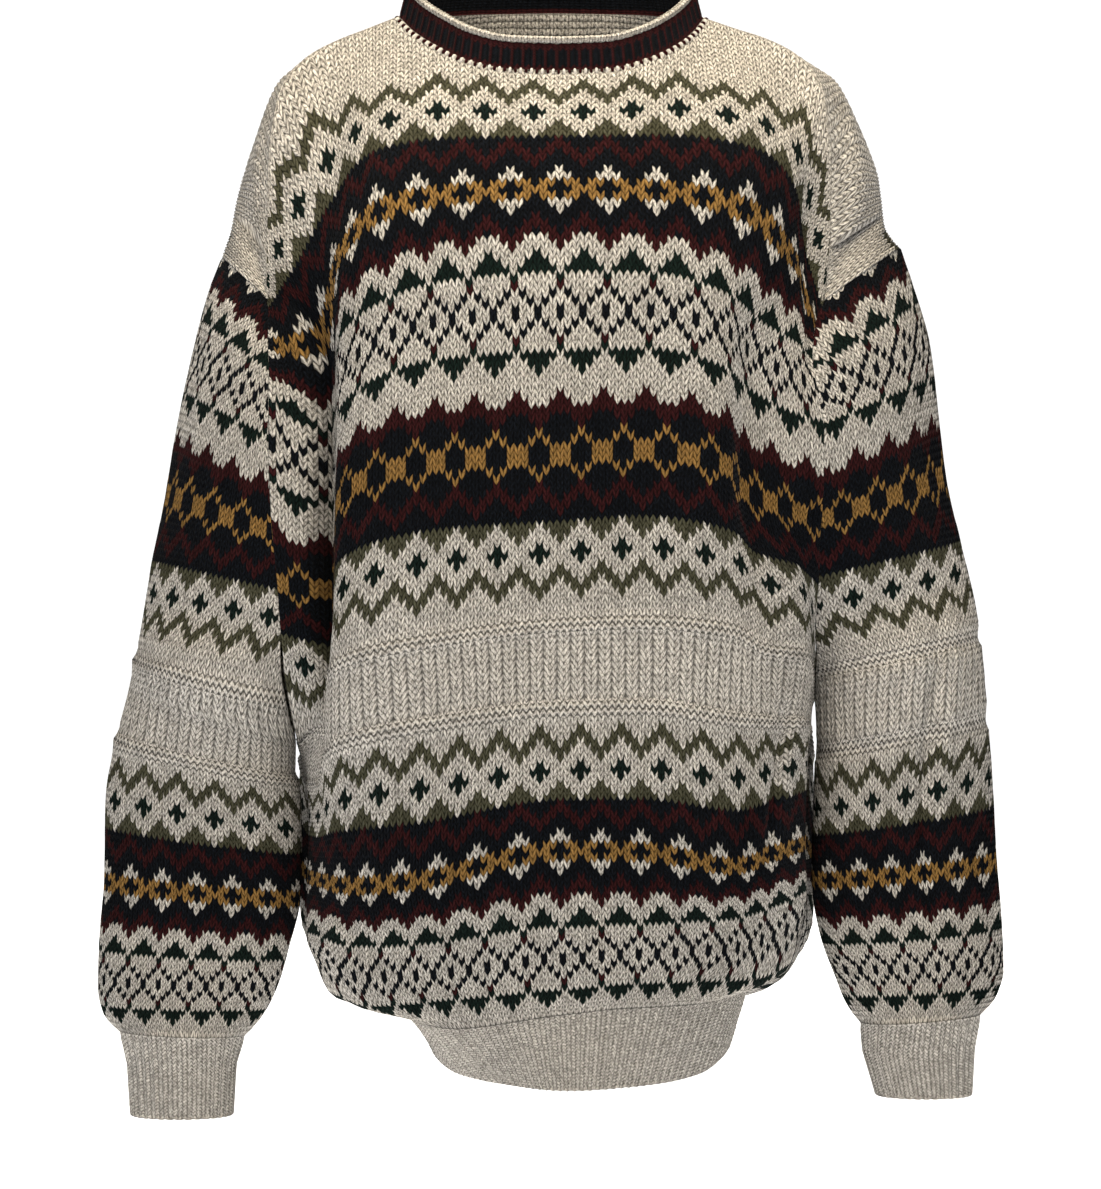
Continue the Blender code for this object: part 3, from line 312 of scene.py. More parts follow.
# Cuffs below the sleeve: middle line, half width and half depth down the cuff
CUFF_LEFT = rows(
    namedtuple("Cuff", "drop x y z half_width half_depth"),
    (0.35, -238, -5, -677, 34, 26), (1, -238, -5, -710, 32, 23))
CUFF_RIGHT = rows(
    namedtuple("Cuff", "drop x y z half_width half_depth"),
    (0.35, 239.5, -5, -668, 35, 26), (1, 243, -5, -697, 30, 23))


# Creases pressed into the cloth, besides the deep folds of the form. Each runs from one
# stitch and course to another, bowed sideways; a negative depth is a trough.
Fold = namedtuple("Fold", "stitch course to_stitch to_course bow width depth")
FOLDS = {
    "front": rows(
        Fold,
        (36, 86, 33, 116, 1.5, 1.6, -5.0), (39.5, 88, 38.5, 112, -1, 1.6, 2.6),
        (-4, 112, -6, 134, 2, 2.6, -2.6), (7, 110, 10, 132, -1.5, 3, -2.2), (1, 108, 2, 134, 1, 3, 1.6),
        (-31, 58, -32, 73, 0.6, 1.2, -1.6), (40, 16, 44, 36, 1.5, 2.2, -3.0), (35, 14, 37, 33, 1, 2.4, 1.6),
        (-46, 112, -30, 128, 3, 2.2, -2.4), (-20, 118, -28, 136, 2, 2, 1.8), (20, 118, 27, 137, -2, 2, -2.0),
        (14, 40, 10, 66, 2, 4, -1.4), (-12, 30, -9, 58, -2, 4, -1.2), (-47, 78, -38, 90, 1.5, 1.8, -2.2),
        (48, 80, 41, 92, 1.5, 1.8, -2.2), (-24, 6, -34, 22, 2, 2.2, -1.5), (24, 8, 30, 24, -1, 2.2, -1.4)),
    "back": rows(
        Fold,
        (-30, -14, -38, 20, 2, 2.6, -2.6), (30, -14, 38, 20, -2, 2.6, -2.6), (-12, 20, -8, 70, 3, 4, -1.8),
        (14, 30, 10, 84, -3, 4, -1.8), (-34, 84, -28, 128, 2, 2.2, -3.0), (31, 82, 27, 130, -1.5, 2.2, -3.0),
        (-2, 96, 2, 136, 2, 3.2, -2.2), (-16, 104, -12, 136, 1, 2.6, 1.8), (18, 108, 15, 137, 1, 2.6, -2.0),
        (-48, 78, -34, 94, 2, 2, -2.2), (48, 80, 36, 92, -2, 2, -2.2),
        (-48, 77, -48, 131, 0, 4.5, 5.0), (48, 76, 48, 131, 0, 4.5, 6.0)),
    "sleeve_left": rows(
        Fold,
        (30, 90, 24, 116, 2, 2.2, -2.6), (18, 84, 12, 104, 1.5, 2, -1.8), (34, 84, 22, 92, -2, 1.8, -2.2),
        (36, 96, 26, 104, 1.5, 1.6, -2.0), (8, 112, 16, 134, 2, 2.4, -1.8), (22, 118, 30, 136, 1, 2, -2.0),
        (-30, 88, -18, 112, 2, 2.4, -2.6), (-12, 96, -20, 128, 2, 2.6, -2.0),
        (-34, 108, -24, 132, 1, 2, -1.8),
        (8, 30, 4, 60, 1.5, 3, -1.6), (-10, 34, -6, 66, -1.5, 3, -1.6)),
    "sleeve_right": rows(
        Fold,
        (15, 72, 18, 122, 1.5, 1.5, -4.2), (12, 78, 14, 120, 1, 1.8, 2.4), (33, 84, 24, 96, 2, 2, -2.0),
        (28, 100, 22, 126, -1.5, 2, -2.0), (6, 104, 2, 132, 2, 2.4, -1.8), (34, 106, 28, 134, 1, 2, -1.6),
        (-28, 88, -18, 114, 2, 2.4, -2.6), (-10, 94, -18, 130, 2, 2.6, -2.0),
        (-33, 106, -25, 132, 1, 2, -1.8),
        (8, 32, 5, 62, 1.5, 3, -1.6), (-10, 34, -6, 66, -1.5, 3, -1.6)),
}

# Stitches from the outermost line of a sleeve to its seam
SLEEVE_STITCHES = rows(
    namedtuple("Width", "course half"), (21, 20), (27, 24), (33, 27.5), (42, 29), (54, 30.5), (60, 31.5),
    (69, 33), (76, 36), (83, 41.5), (110, 41.5), (139, 40.5))
# How many stitches the middle of each sleeve has turned towards the front
Turn = namedtuple("Turn", "course stitches")
SLEEVE_TURNS = {
    "left": rows(Turn, (21, 1), (30, 2), (44, 2), (55, 0.3), (69, -0.3), (76, -0.3), (80, -0.2),
                 (82, -2), (84, -2.3), (98, -2.2), (121, -1), (139, 1)),
    "right": rows(Turn, (21, 0), (30, 0.4), (43, 1.3), (55, -0.3), (68, -2.2), (98, 0.7), (120, -0.4),
                  (139, -0.3)),
}

# ---------------------------------------------------------------- charts
# One letter a stitch, six stitches a repeat: . oatmeal, o moss, g pine, b burgundy,
# n navy, y ochre. Column 0 of a chart sits on the middle stitch.
ZIGZAG_BAND = (
    "...o..", "..ooo.", ".oo.oo", "oo...o", "o.....", "...g..", "..ggg.", "...g..",
    "o.....", "oo...o", "ooo.oo")
LATTICE_BAND = (
    "bnnnnn", "bbnnnb", "nbbnbb", "nnbbbn", "nnnbnn", ".nnnnn", "..nnn.", "nyynyy",
    "nnyyyn", "nyynyy", "..nnn.", ".nnnnn", "nnnbnn", "nnbbbn", "nbbnbb", "bb...b",
    "b.....")
DIAMOND_BAND = (
    "...g..", "..ggg.", ".ggggg", "g.....", "b.....", ".n...n", "..n.n.", "n..n..",
    "n..n..", "..n.n.", ".n...n", "b.....", "g.....", ".ggggg", "..ggg.", "...g..",
    "......", "......", "b.....", "bb...b")
CREST_BAND = (
    "bbbbbb", "nnbbbn", "nnnbnn", "nnnynn", "nnynyn", "yynnny", "yynnny", "yynnny",
    "nnynyn", "nnnynn", "nnnbnn", "nnbbbn", "nbbnbb", "bbnnnb", "bnnnnn", "nnnnnn")
Band = namedtuple("Band", "first_course chart")
BANDS = (
    Band(0, ZIGZAG_BAND), Band(11, LATTICE_BAND), Band(28, DIAMOND_BAND),
    Band(48, CREST_BAND), Band(64, ZIGZAG_BAND[::-1]), Band(93, ZIGZAG_BAND),
    Band(104, LATTICE_BAND), Band(121, DIAMOND_BAND[:16]))
REPEAT = 6
YARN_LETTERS = ".ogbny"
PURL_RIDGES = (78, 79, 90, 91)
OPEN_COURSES = range(80, 90)
# Height of the knit over its wall: at the boundary of a stitch, its leg, middle and other leg
PLAIN_RELIEF = (-0.6, 0.6, -0.1, 0.6)
OPEN_RELIEF = (-0.75, 0.2, 0.5, 0.35, 0.1, 0.35, 0.5, 0.2)     # a wide stitch and a hollow, over two
PURL_RELIEF = (2.2, 1.4, 2.0, 1.4)
GROOVE_RELIEF = (-1.0, -0.6, -0.8, -0.6)     # the course over a purl ridge sinks


def chart_row(course):
    """Six letters of one course; plain oatmeal outside the bands."""
    for band in BANDS:
        place = course - band.first_course
        if 0 <= place < len(band.chart):
            return band.chart[place]
    return "." * REPEAT


def yarn_grid(courses, stitches):
    """Yarn number of each stitch of a grid, and of the float behind it."""
    face = np.zeros((len(courses), len(stitches)), int)
    behind = np.zeros_like(face)
    for row, course in enumerate(courses):
        letters = chart_row(course)
        numbers = np.array([YARN_LETTERS.index(letter) for letter in letters])
        face[row] = numbers[stitches % REPEAT]
        used = sorted(set(numbers))
        if len(used) > 1:
            other = np.where(numbers == used[0], used[1], used[0])
            behind[row] = other[stitches % REPEAT]
        else:
            behind[row] = numbers[0]
    return face, behind


def relief_row(course):
    """Relief of one course at the four places of a stitch."""
    if course in PURL_RIDGES:
        return PURL_RELIEF
    if course + 1 in PURL_RIDGES:
        return GROOVE_RELIEF
    return OPEN_RELIEF if course in OPEN_COURSES else PLAIN_RELIEF


def texture_of(course):
    """1 for an open course, 2 for a purl ridge, else 0."""
    return 2 if course in PURL_RIDGES else int(course in OPEN_COURSES)


# ---------------------------------------------------------------- small mathematics
def column(table, name):
    """One named column of a table."""
    return np.array([getattr(row, name) for row in table], float)


def smooth(knots, values, places):
    """Cubic through the values that never swings past them."""
    knots = np.asarray(knots, float)
    values = np.asarray(values, float)
    flat = values.ndim == 1
    if flat:
        values = values[:, None]
    places = np.clip(np.atleast_1d(np.asarray(places, float)), knots[0], knots[-1])
    step = np.diff(knots)[:, None]
    slope = np.diff(values, axis=0) / step
    tangent = np.zeros_like(values)
    tangent[0], tangent[-1] = slope[0], slope[-1]
    before, after = slope[:-1], slope[1:]
    weight_a, weight_b = 2 * step[1:] + step[:-1], step[1:] + 2 * step[:-1]
    safe_a = np.where(before == 0, 1, before)
    safe_b = np.where(after == 0, 1, after)
    mean = (weight_a + weight_b) / (weight_a / safe_a + weight_b / safe_b + 1e-12 * (safe_a + safe_b == 0))
    tangent[1:-1] = np.where(before * after > 0, mean, 0)
    cell = np.clip(np.searchsorted(knots, places, side="right") - 1, 0, len(knots) - 2)
    width = step[cell]
    t = ((places - knots[cell])[:, None]) / width
    result = ((1 + 2 * t) * (1 - t) ** 2 * values[cell] + t * (1 - t) ** 2 * width * tangent[cell]
              + t ** 2 * (3 - 2 * t) * values[cell + 1] + t ** 2 * (t - 1) * width * tangent[cell + 1])
    return result[:, 0] if flat else result


def along(table, key, places):
    """Points of a table with x, y and z columns at places along its key column."""
    points = np.stack([column(table, axis) for axis in "xyz"], axis=1)
    return smooth(column(table, key), points, places)


def lookup(table, key, name, places):
    """Any other column of a table at places along its key column."""
    places = np.atleast_1d(places)
    return smooth(column(table, key), column(table, name), places.ravel()).reshape(places.shape)


def ease(value):
    """Smooth step from 0 to 1."""
    value = np.clip(value, 0, 1)
    return value * value * (3 - 2 * value)


def unit(vectors):
    """Vectors made one long."""
    return vectors / np.maximum(np.linalg.norm(vectors, axis=-1, keepdims=True), 1e-9)


def blend(places, knots, values):
    """Points read linearly along a line of points."""
    return np.stack([np.interp(places, knots, values[:, axis]) for axis in range(3)], axis=-1)


def line_length(points):
    """Length run along a line of points."""
    return np.concatenate([[0], np.cumsum(np.linalg.norm(np.diff(points, axis=0), axis=1))])


# ---------------------------------------------------------------- the form
SIDES = {
    "left": dict(neck_front=NECK_FRONT_LEFT, neck_back=NECK_BACK_LEFT, shoulder=SHOULDER_LEFT,
                 arm_front=ARM_FRONT_LEFT, arm_back=ARM_BACK_LEFT, side=SIDE_LEFT,
                 outer=SLEEVE_OUTER_LEFT, inner=SLEEVE_INNER_LEFT, cuff=CUFF_LEFT, sign=-1),
    "right": dict(neck_front=NECK_FRONT_RIGHT, neck_back=NECK_BACK_RIGHT, shoulder=SHOULDER_RIGHT,
                  arm_front=ARM_FRONT_RIGHT, arm_back=ARM_BACK_RIGHT, side=SIDE_RIGHT,
                  outer=SLEEVE_OUTER_RIGHT, inner=SLEEVE_INNER_RIGHT, cuff=CUFF_RIGHT, sign=1),
}


def armhole_point(table, sleeve_course):
    """Point of an armhole seam at a sleeve course, on the body's own seam line."""
    body_course = lookup(table, "sleeve_course", "body_course", sleeve_course)
    return along(table, "body_course", body_course)[0]


def sleeve_ring(side, course, turns):
    """One course of a sleeve; turns run from -1 at the back edge to 1 at the front edge."""
    tables = SIDES[side]
    outer = along(tables["outer"], "course", course)[0]
    turns = np.asarray(turns, float)
    if course < SLEEVE_JOIN_COURSE:
        spread = [UNDERARM_SPREAD * min(max((course - 70) / 6, 0), 1) * tables["sign"], 0, 0]
        front_end = armhole_point(tables["arm_front"], course) + spread
        back_end = armhole_point(tables["arm_back"], course) + spread
    else:
        front_end = back_end = along(tables["inner"], "course", course)[0]
    sweep = math.radians(lookup(SLEEVE_RINGS, "course", "sweep", course)[0])
    ahead = turns >= 0
    end = np.where(ahead[:, None], front_end, back_end)
    depth = np.where(ahead, -lookup(SLEEVE_RINGS, "course", "front_depth", course)[0],
                     lookup(SLEEVE_RINGS, "course", "back_depth", course)[0])
    part = np.abs(turns)
    across = (1 - np.cos(part * sweep)) / (1 - math.cos(sweep))
    points = outer + (end - outer) * across[:, None]
    points[:, 1] = (outer[1] + depth * np.sin(part * sweep)
                    + part * (end[:, 1] - outer[1] - depth * math.sin(sweep)))
    return points


def cap_line(side, parts):
    """Top edge of a sleeve, from the shoulder corner over the arm to the back."""
    fine = sleeve_ring(side, CAP_COURSE, np.linspace(1, -1, 81))
    length = line_length(fine)
    return blend(np.asarray(parts, float) * length[-1], length, fine)


def panel_edge(face, side, courses):
    """Outer edge of a panel: armhole seam above the underarm, side seam below it."""
    courses = np.atleast_1d(np.asarray(courses, float))
    tables = SIDES[side]
    below = along(tables["side"], "course", courses)
    above = along(tables["arm_" + face], "body_course", courses)
    if face == "back":
        part = (courses - BACK_CORNER_COURSE) / (CAP_END_COURSE - BACK_CORNER_COURSE)
        over_arm = cap_line(side, np.clip(part, 0, 1))
        above = np.where((courses < CAP_END_COURSE)[:, None], over_arm, above)
    return np.where((courses >= UNDERARM_COURSE)[:, None], below, above)


def edge_stitch(face, side, courses):
    """Stitch count from the middle of a panel to its edge."""
    courses = np.atleast_1d(np.asarray(courses, float))
    if face == "front" and side == "right":
        return lookup(RIGHT_EDGE, "course", "stitch", courses)
    return np.full(len(courses), HALF_STITCHES)


def top_course(face, stitch):
    """Course number of the top edge at one stitch."""
    place = abs(stitch)
    if place <= NECK_STITCH:
        return float(lookup(NECK_COURSE, "stitch", face + "_course", place)[0])
    table = SHOULDER_LEFT if stitch < 0 else SHOULDER_RIGHT
    return float(lookup(table, "stitch", face + "_course", place)[0])


def top_point(face, stitch):
    """Point of the top edge at one stitch."""
    tables = SIDES["left" if stitch < 0 else "right"]
    place = abs(stitch)
    if place <= NECK_STITCH:
        return along(tables["neck_" + face], "stitch", place)[0]
    return along(tables["shoulder"], "stitch", place)[0]


def half_marks(face, side, index):
    """Stitches and points of one section from its first mark to its edge."""
    if face == "front":
        section = (FRONT_LEFT if side == "left" else FRONT_RIGHT)[index]
        marks = list(section[1:])
    else:
        section = BACK_HALF[index]
        marks = list(section[1:])
        if side == "left":
            pull = float(lookup(LEFT_PULL, "course", "factor", section.course)[0])
            marks = [Mark(m.stitch, -m.x * pull, m.y, m.z) for m in marks]
    stitches = [m.stitch for m in marks] + [edge_stitch(face, side, section.course)[0]]
    points = [[m.x, m.y, m.z] for m in marks] + [panel_edge(face, side, section.course)[0]]
    return np.array(stitches, float), np.array(points, float)


def section_lines(face, stitches):
    """Section curves of a panel read at the given stitches."""
    centre = FRONT_CENTRE if face == "front" else BACK_CENTRE
    lines = []
    for index, row in enumerate(centre):
        left_s, left_p = half_marks(face, "left", index)
        right_s, right_p = half_marks(face, "right", index)
        knots = np.concatenate([-left_s[::-1], [0], right_s])
        points = np.concatenate([left_p[::-1], [[row.x, row.y, row.z]], right_p])
        lines.append(smooth(knots, points, stitches))
    return column(centre, "course"), np.array(lines)


class PanelForm:
    """Middle surface of the front or the back at any stitch and course."""

    def __init__(self, face):
        self.face = face
        self.steps = np.arange(-26.0, HEM_COURSE + 0.1, 0.5)
        self.reach, self.edge, self.miss = {}, {}, {}
        for side in SIDES:
            reach = edge_stitch(face, side, self.steps)
            edge = panel_edge(face, side, self.steps)
            courses, lines = section_lines(face, SIDES[side]["sign"] * reach)
            raw = [self.raw(SIDES[side]["sign"] * stitch, [course], courses, lines[:, index])[0]
                   for index, (stitch, course) in enumerate(zip(reach, self.steps))]
            self.reach[side], self.edge[side], self.miss[side] = reach, edge, edge - np.array(raw)

    def raw(self, stitch, places, courses, line):
        """One column of stitches before its edge is fitted."""
        start = top_course(self.face, stitch)
        usable = courses > start + 3
        knots = np.concatenate([[start], courses[usable]])
        points = np.concatenate([[top_point(self.face, stitch)], line[usable]])
        return smooth(knots, points, places)

    def side_of(self, stitch, places):
        """Side of a column, and its reach to the edge at each place."""
        side = "left" if stitch < 0 else "right"
        return side, np.interp(places, self.steps, self.reach[side])

    def columns(self, stitches, places):
        """Points of many columns; places holds the courses of each."""
        courses, lines = section_lines(self.face, stitches)
        result = []
        for index, stitch in enumerate(stitches):
            wanted = np.asarray(places[index], float)
            side, reach = self.side_of(stitch, wanted)
            share = ease((abs(stitch) - (reach - 9)) / 9)[:, None]
            points = self.raw(stitch, wanted, courses, lines[:, index])
            points = points + share * blend(wanted, self.steps, self.miss[side])
            edge = blend(wanted, self.steps, self.edge[side])
            result.append(np.where((abs(stitch) >= reach - 1e-6)[:, None], edge, points))
        return np.array(result)


class SleeveForm:
    """Middle surface of a sleeve, its stitches evenly spread over each half."""

    def __init__(self, side):
        self.steps = np.arange(CAP_COURSE, HEM_COURSE + 0.1, 0.5)
        turns = np.linspace(-1, 1, 161)
        self.rings = []
        for course in self.steps:
            fine = sleeve_ring(side, course, turns)
            length = line_length(fine)
            half = length[80]
            behind = np.linspace(0, half, 121)
            ahead = np.linspace(half, length[-1], 121)[1:]
            self.rings.append(blend(np.concatenate([behind, ahead]), length, fine))
        self.rings = np.array(self.rings)

    def points(self, parts, courses):
        """Points at matching arrays; parts run from -1 at the back seam to 1 at the front."""
        row = np.clip((courses - CAP_COURSE) * 2, 0, len(self.steps) - 1.0001)
        col = np.clip((parts + 1) * 120, 0, 239.9999)
        r, c = row.astype(int), col.astype(int)
        down, over = (row - r)[..., None], (col - c)[..., None]
        top = self.rings[r, c] * (1 - over) + self.rings[r, c + 1] * over
        low = self.rings[r + 1, c] * (1 - over) + self.rings[r + 1, c + 1] * over
        return top * (1 - down) + low * down


# ---------------------------------------------------------------- cloth as a grid
class Cloth:
    """One knitted piece: a fine grid of its middle surface, every vertex with its relief."""

    def __init__(self, name, grid, step, outward, ridge, yarn, behind, courses=(), half_wall=HALF_WALL,
                 closed=False):
        self.name = name
        self.grid = grid
        self.step = step
        self.ridge = ridge
        self.yarn = yarn
        self.behind = behind
        self.texture = np.zeros(grid.shape[0] - 1, int)
        self.texture[:len(courses)] = [texture_of(course) for course in courses]
        self.half_wall = half_wall
        self.closed = closed
        self.outward = outward
        self.face_outwards()

    def face_outwards(self):
        """Set the normals of the grid, all on the outer side."""
        self.normal = grid_normals(self.grid, self.closed)
        count_r, count_c = self.grid.shape[:2]
        if np.dot(self.normal[count_r // 2, count_c // 2], self.outward) < 0:
            self.normal = -self.normal

    def edges(self):
        """Index arrays of the edge lines: top, bottom and, if open, both sides."""
        count_r, count_c = self.grid.shape[:2]
        lines = [(np.zeros(count_c, int), np.arange(count_c)),
                 (np.full(count_c, count_r - 1), np.arange(count_c))]
        if not self.closed:
            lines.append((np.arange(count_r), np.zeros(count_r, int)))
            lines.append((np.arange(count_r), np.full(count_r, count_c - 1)))
        return lines


def grid_faces(count_r, count_c, closed):
    """Quads of a grid of points, row by row."""
    cols = np.arange(count_c if closed else count_c - 1)
    row, col = np.meshgrid(np.arange(count_r - 1), cols, indexing="ij")
    row, col = row.ravel(), col.ravel()
    beyond = (col + 1) % count_c
    return np.stack([row * count_c + col, (row + 1) * count_c + col,
                     (row + 1) * count_c + beyond, row * count_c + beyond], axis=1)


def same_places(points):
    """Number of the first point at each place, for points that lie on each other."""
    keys = np.round(points * 2000).astype(np.int64)
    _, first, same = np.unique(keys, axis=0, return_index=True, return_inverse=True)
    return first, same.ravel()


def grid_normals(grid, closed):
    """Normals from the faces round each point, also where rows run together."""
    points = grid.reshape(-1, 3)
    faces = grid_faces(*grid.shape[:2], closed)
    a, b, c, d = (points[faces[:, corner]] for corner in range(4))
    face_normal = np.cross(c - a, d - b)
    _, same = same_places(points)
    total = np.zeros((same.max() + 1, 3))
    for corner in range(4):
        np.add.at(total, same[faces[:, corner]], face_normal)
    return unit(total[same]).reshape(grid.shape)


def share_seams(cloths):
    """Let pieces that meet at a seam lean their edges the same way."""
    spots = []
    for number, cloth in enumerate(cloths):
        for line, index in enumerate(cloth.edges()):
            for place, lean in zip(cloth.grid[index], cloth.normal[index]):
                spots.append((place, lean, number, line))
    tree = kdtree.KDTree(len(spots))
    for index, spot in enumerate(spots):
        tree.insert(Vector(spot[0]), index)
    tree.balance()
    changes = []
    for number, cloth in enumerate(cloths):
        for line, index in enumerate(cloth.edges()):
            for row, col in zip(*index):
                own = cloth.normal[row, col]
                met = {}
                for _, found, miss in tree.find_range(Vector(cloth.grid[row, col]), SEAM_REACH):
                    _, lean, other, other_line = spots[found]
                    if other == number and (cloth.closed or {line, other_line} != {2, 3}):
                        continue
                    if np.dot(own, lean) > FOLDED_FLAT and miss < met.get((other, other_line), (9,))[0]:
                        met[(other, other_line)] = (miss, lean)
                total = own + sum((lean for _, lean in met.values()), np.zeros(3))
                shared = unit(total)
                changes.append((cloth, row, col, shared / max(np.dot(own, shared), 0.75)))
    for cloth, row, col, lean in changes:
        cloth.normal[row, col] = lean


def rim(outer, inner, step):
    """Faces between a fine line of points and a coarse one, three corners each."""
    faces = []
    half = step // 2
    for number in range(len(inner) - 1):
        a, b = inner[number], inner[number + 1]
        fine = outer[number * step:number * step + step + 1]
        faces += [(a, fine[n + 1], fine[n]) for n in range(half)]
        faces.append((a, b, fine[half]))
        faces += [(b, fine[n + 1], fine[n]) for n in range(half, step)]
    return faces


def wall_mesh(cloth):
    """Closed wall of a piece with its yarns, relief and stitch numbers on it."""
    count_r, count_c = cloth.grid.shape[:2]
    step = cloth.step
    keep = np.arange(0, count_c, step)
    outer = (cloth.grid + cloth.normal * cloth.half_wall).reshape(-1, 3)
    inner = (cloth.grid - cloth.normal * cloth.half_wall)[:, keep].reshape(-1, 3)
    base = len(outer)
    outer_faces = grid_faces(count_r, count_c, cloth.closed)
    inner_faces = grid_faces(count_r, len(keep), cloth.closed)[:, ::-1] + base
    rims = []
    for row, turn in ((0, 1), (count_r - 1, -1)):
        fine = np.arange(count_c) + row * count_c
        coarse = base + np.arange(len(keep)) + row * len(keep)
        if cloth.closed:
            fine, coarse = np.append(fine, fine[0]), np.append(coarse, coarse[0])
        rims += [face[::turn] for face in rim(fine, coarse, step)]
    if not cloth.closed:
        for col, turn in ((0, 1), (-1, -1)):
            fine = (np.arange(count_r) * count_c) + (0 if col == 0 else count_c - 1)
            coarse = base + np.arange(count_r) * len(keep) + (0 if col == 0 else len(keep) - 1)
            for row in range(count_r - 1):
                rims.append((fine[row], coarse[row], coarse[row + 1])[::turn])
                rims.append((fine[row], coarse[row + 1], fine[row + 1])[::turn])
    rims = np.array(rims)
    rims = np.concatenate([rims, np.full((len(rims), 1), -1)], axis=1)
    faces = np.concatenate([outer_faces, inner_faces, rims])
    yarn = np.concatenate([cloth.yarn.ravel(), cloth.behind.ravel(), np.zeros(len(rims), int)])
    texture = np.concatenate([np.repeat(cloth.texture, cloth.yarn.shape[1]),
                              np.zeros(cloth.behind.size + len(rims), int)])
    points = np.concatenate([outer, inner])
    ridge = np.concatenate([cloth.ridge.ravel(), np.zeros(len(inner))])
    across = np.concatenate([np.tile(np.arange(count_c) / step, count_r),
                             np.tile(np.arange(len(keep), dtype=float), count_r)])
    down = np.concatenate([np.repeat(np.arange(count_r), count_c), np.repeat(np.arange(count_r), len(keep))])
    # the wall is turned as one, so that its faces point out
    middle = outer_faces[len(outer_faces) // 2]
    a, b, c, d = points[middle]
    if np.dot(np.cross(c - a, d - b), cloth.normal[count_r // 2, count_c // 2]) < 0:
        faces = np.where(faces[:, 3:] < 0, faces[:, [2, 1, 0, 3]], faces[:, ::-1])
    return mesh_from(cloth.name, points, faces, yarn, texture, ridge, np.stack([across, down], axis=1))


def mesh_from(name, points, faces, yarn, texture, ridge, place):
    """Mesh whose points that lie on each other are one, with the stitch data on it."""
    first, same = same_places(points)
    corners, sizes, kept = [], [], []
    merged = np.where(faces >= 0, same[faces], -1)
    alike = Counter(map(tuple, np.sort(merged, axis=1).tolist()))
    for number, face in enumerate(merged.tolist()):
        if alike[tuple(sorted(face))] > 1:
            continue
        ring = list(dict.fromkeys(corner for corner in face if corner >= 0))
        if len(ring) >= 3:
            kept.append(number)
            sizes.append(len(ring))
            corners.extend((corner, faces[number, face.index(corner)]) for corner in ring)
    corners = np.array(corners)
    sizes = np.array(sizes)
    mesh = bpy.data.meshes.new(name)
    mesh.vertices.add(len(first))
    mesh.vertices.foreach_set("co", (points[first] * MM).astype(np.float32).ravel())
    mesh.loops.add(len(corners))
    mesh.loops.foreach_set("vertex_index", corners[:, 0].astype(np.int32))
    mesh.polygons.add(len(sizes))
    mesh.polygons.foreach_set("loop_start", np.concatenate([[0], np.cumsum(sizes)[:-1]]).astype(np.int32))
    mesh.update(calc_edges=True)
    uv = mesh.uv_layers.new(name="stitches")
    scaled = place[corners[:, 1]] / UV_SCALE
    uv.data.foreach_set("uv", scaled.astype(np.float32).ravel())
    for label, values in (("yarn", yarn), ("texture", texture)):
        layer = mesh.attributes.new(label, "INT", "FACE")
        layer.data.foreach_set("value", values[kept].astype(np.int32))
    layer = mesh.attributes.new("ridge", "FLOAT", "POINT")
    layer.data.foreach_set("value", ridge[first].astype(np.float32))
    # the closing faces of an edge are three-cornered and stay flat, so that an edge shades crisply
    mesh.polygons.foreach_set("use_smooth", faces[kept][:, 3] >= 0)
    mesh.update()
    return mesh


# ---------------------------------------------------------------- knitted pieces
STEP = 4                   # grid columns to one stitch
VEE_LEAN = (-VEE, 0.0, VEE, 0.0)
RIB_STEP = 8               # grid columns to one rib and the hollow beside it
RIB_RELIEF = (0.0, 0.75, 1.0, 0.8, 1.0, 0.75, 0.0, -0.4)
RIB_LEAN = (-0.1, -0.25, 0.0, 0.3, 0.0, -0.25, -0.1, 0.1)


def course_lines(first):
    """Course lines of a piece from its first course down to the hem line."""
    return np.append(np.arange(first - 0.5, HEM_COURSE - 0.9), HEM_COURSE)


def leaned(lines):
    """How far the loops of each course line lean into a vee; those of a purl ridge lie level."""
    ridge_lines = [course + half for course in PURL_RIDGES for half in (-0.5, 0.5)]
    return np.where(np.isin(lines, ridge_lines), 0.25, 1.0)


def relief_grid(lines, count_c, room):
    """Relief of each grid point; it dies out where there is no room at an edge."""
    rows_ = np.array([np.resize(relief_row(int(round(line + 0.5))), 2 * STEP) for line in lines])
    above = np.vstack([rows_[:1], rows_[:-1]])
    ridge = np.take((rows_ + above) / 2, np.arange(count_c) % (2 * STEP), axis=1)
    ridge[0] = ridge[-1] = 0
    return ridge * room


def crease(name, grid, stitches, courses):
    """How far the folds of a piece move each grid point along its normal, in millimetres."""
    total = np.zeros(grid.shape[:2])
    for fold in FOLDS.get(name, ()):
        parts = np.linspace(0, 1, 25)
        line_s = fold.stitch + (fold.to_stitch - fold.stitch) * parts + fold.bow * 4 * parts * (1 - parts)
        line_k = fold.course + (fold.to_course - fold.course) * parts
        near = np.full(grid.shape[:2], 99.0)
        where = np.zeros(grid.shape[:2])
        for part, s, k in zip(parts, line_s, line_k):
            miss = np.hypot(stitches - s, courses - k)
            closer = miss < near
            near = np.where(closer, miss, near)
            where = np.where(closer, part, where)
        taper = np.sin(np.pi * np.clip(where, 0, 1)) ** 0.7
        total += fold.depth * taper * np.exp(-(near / fold.width) ** 2)
    return total


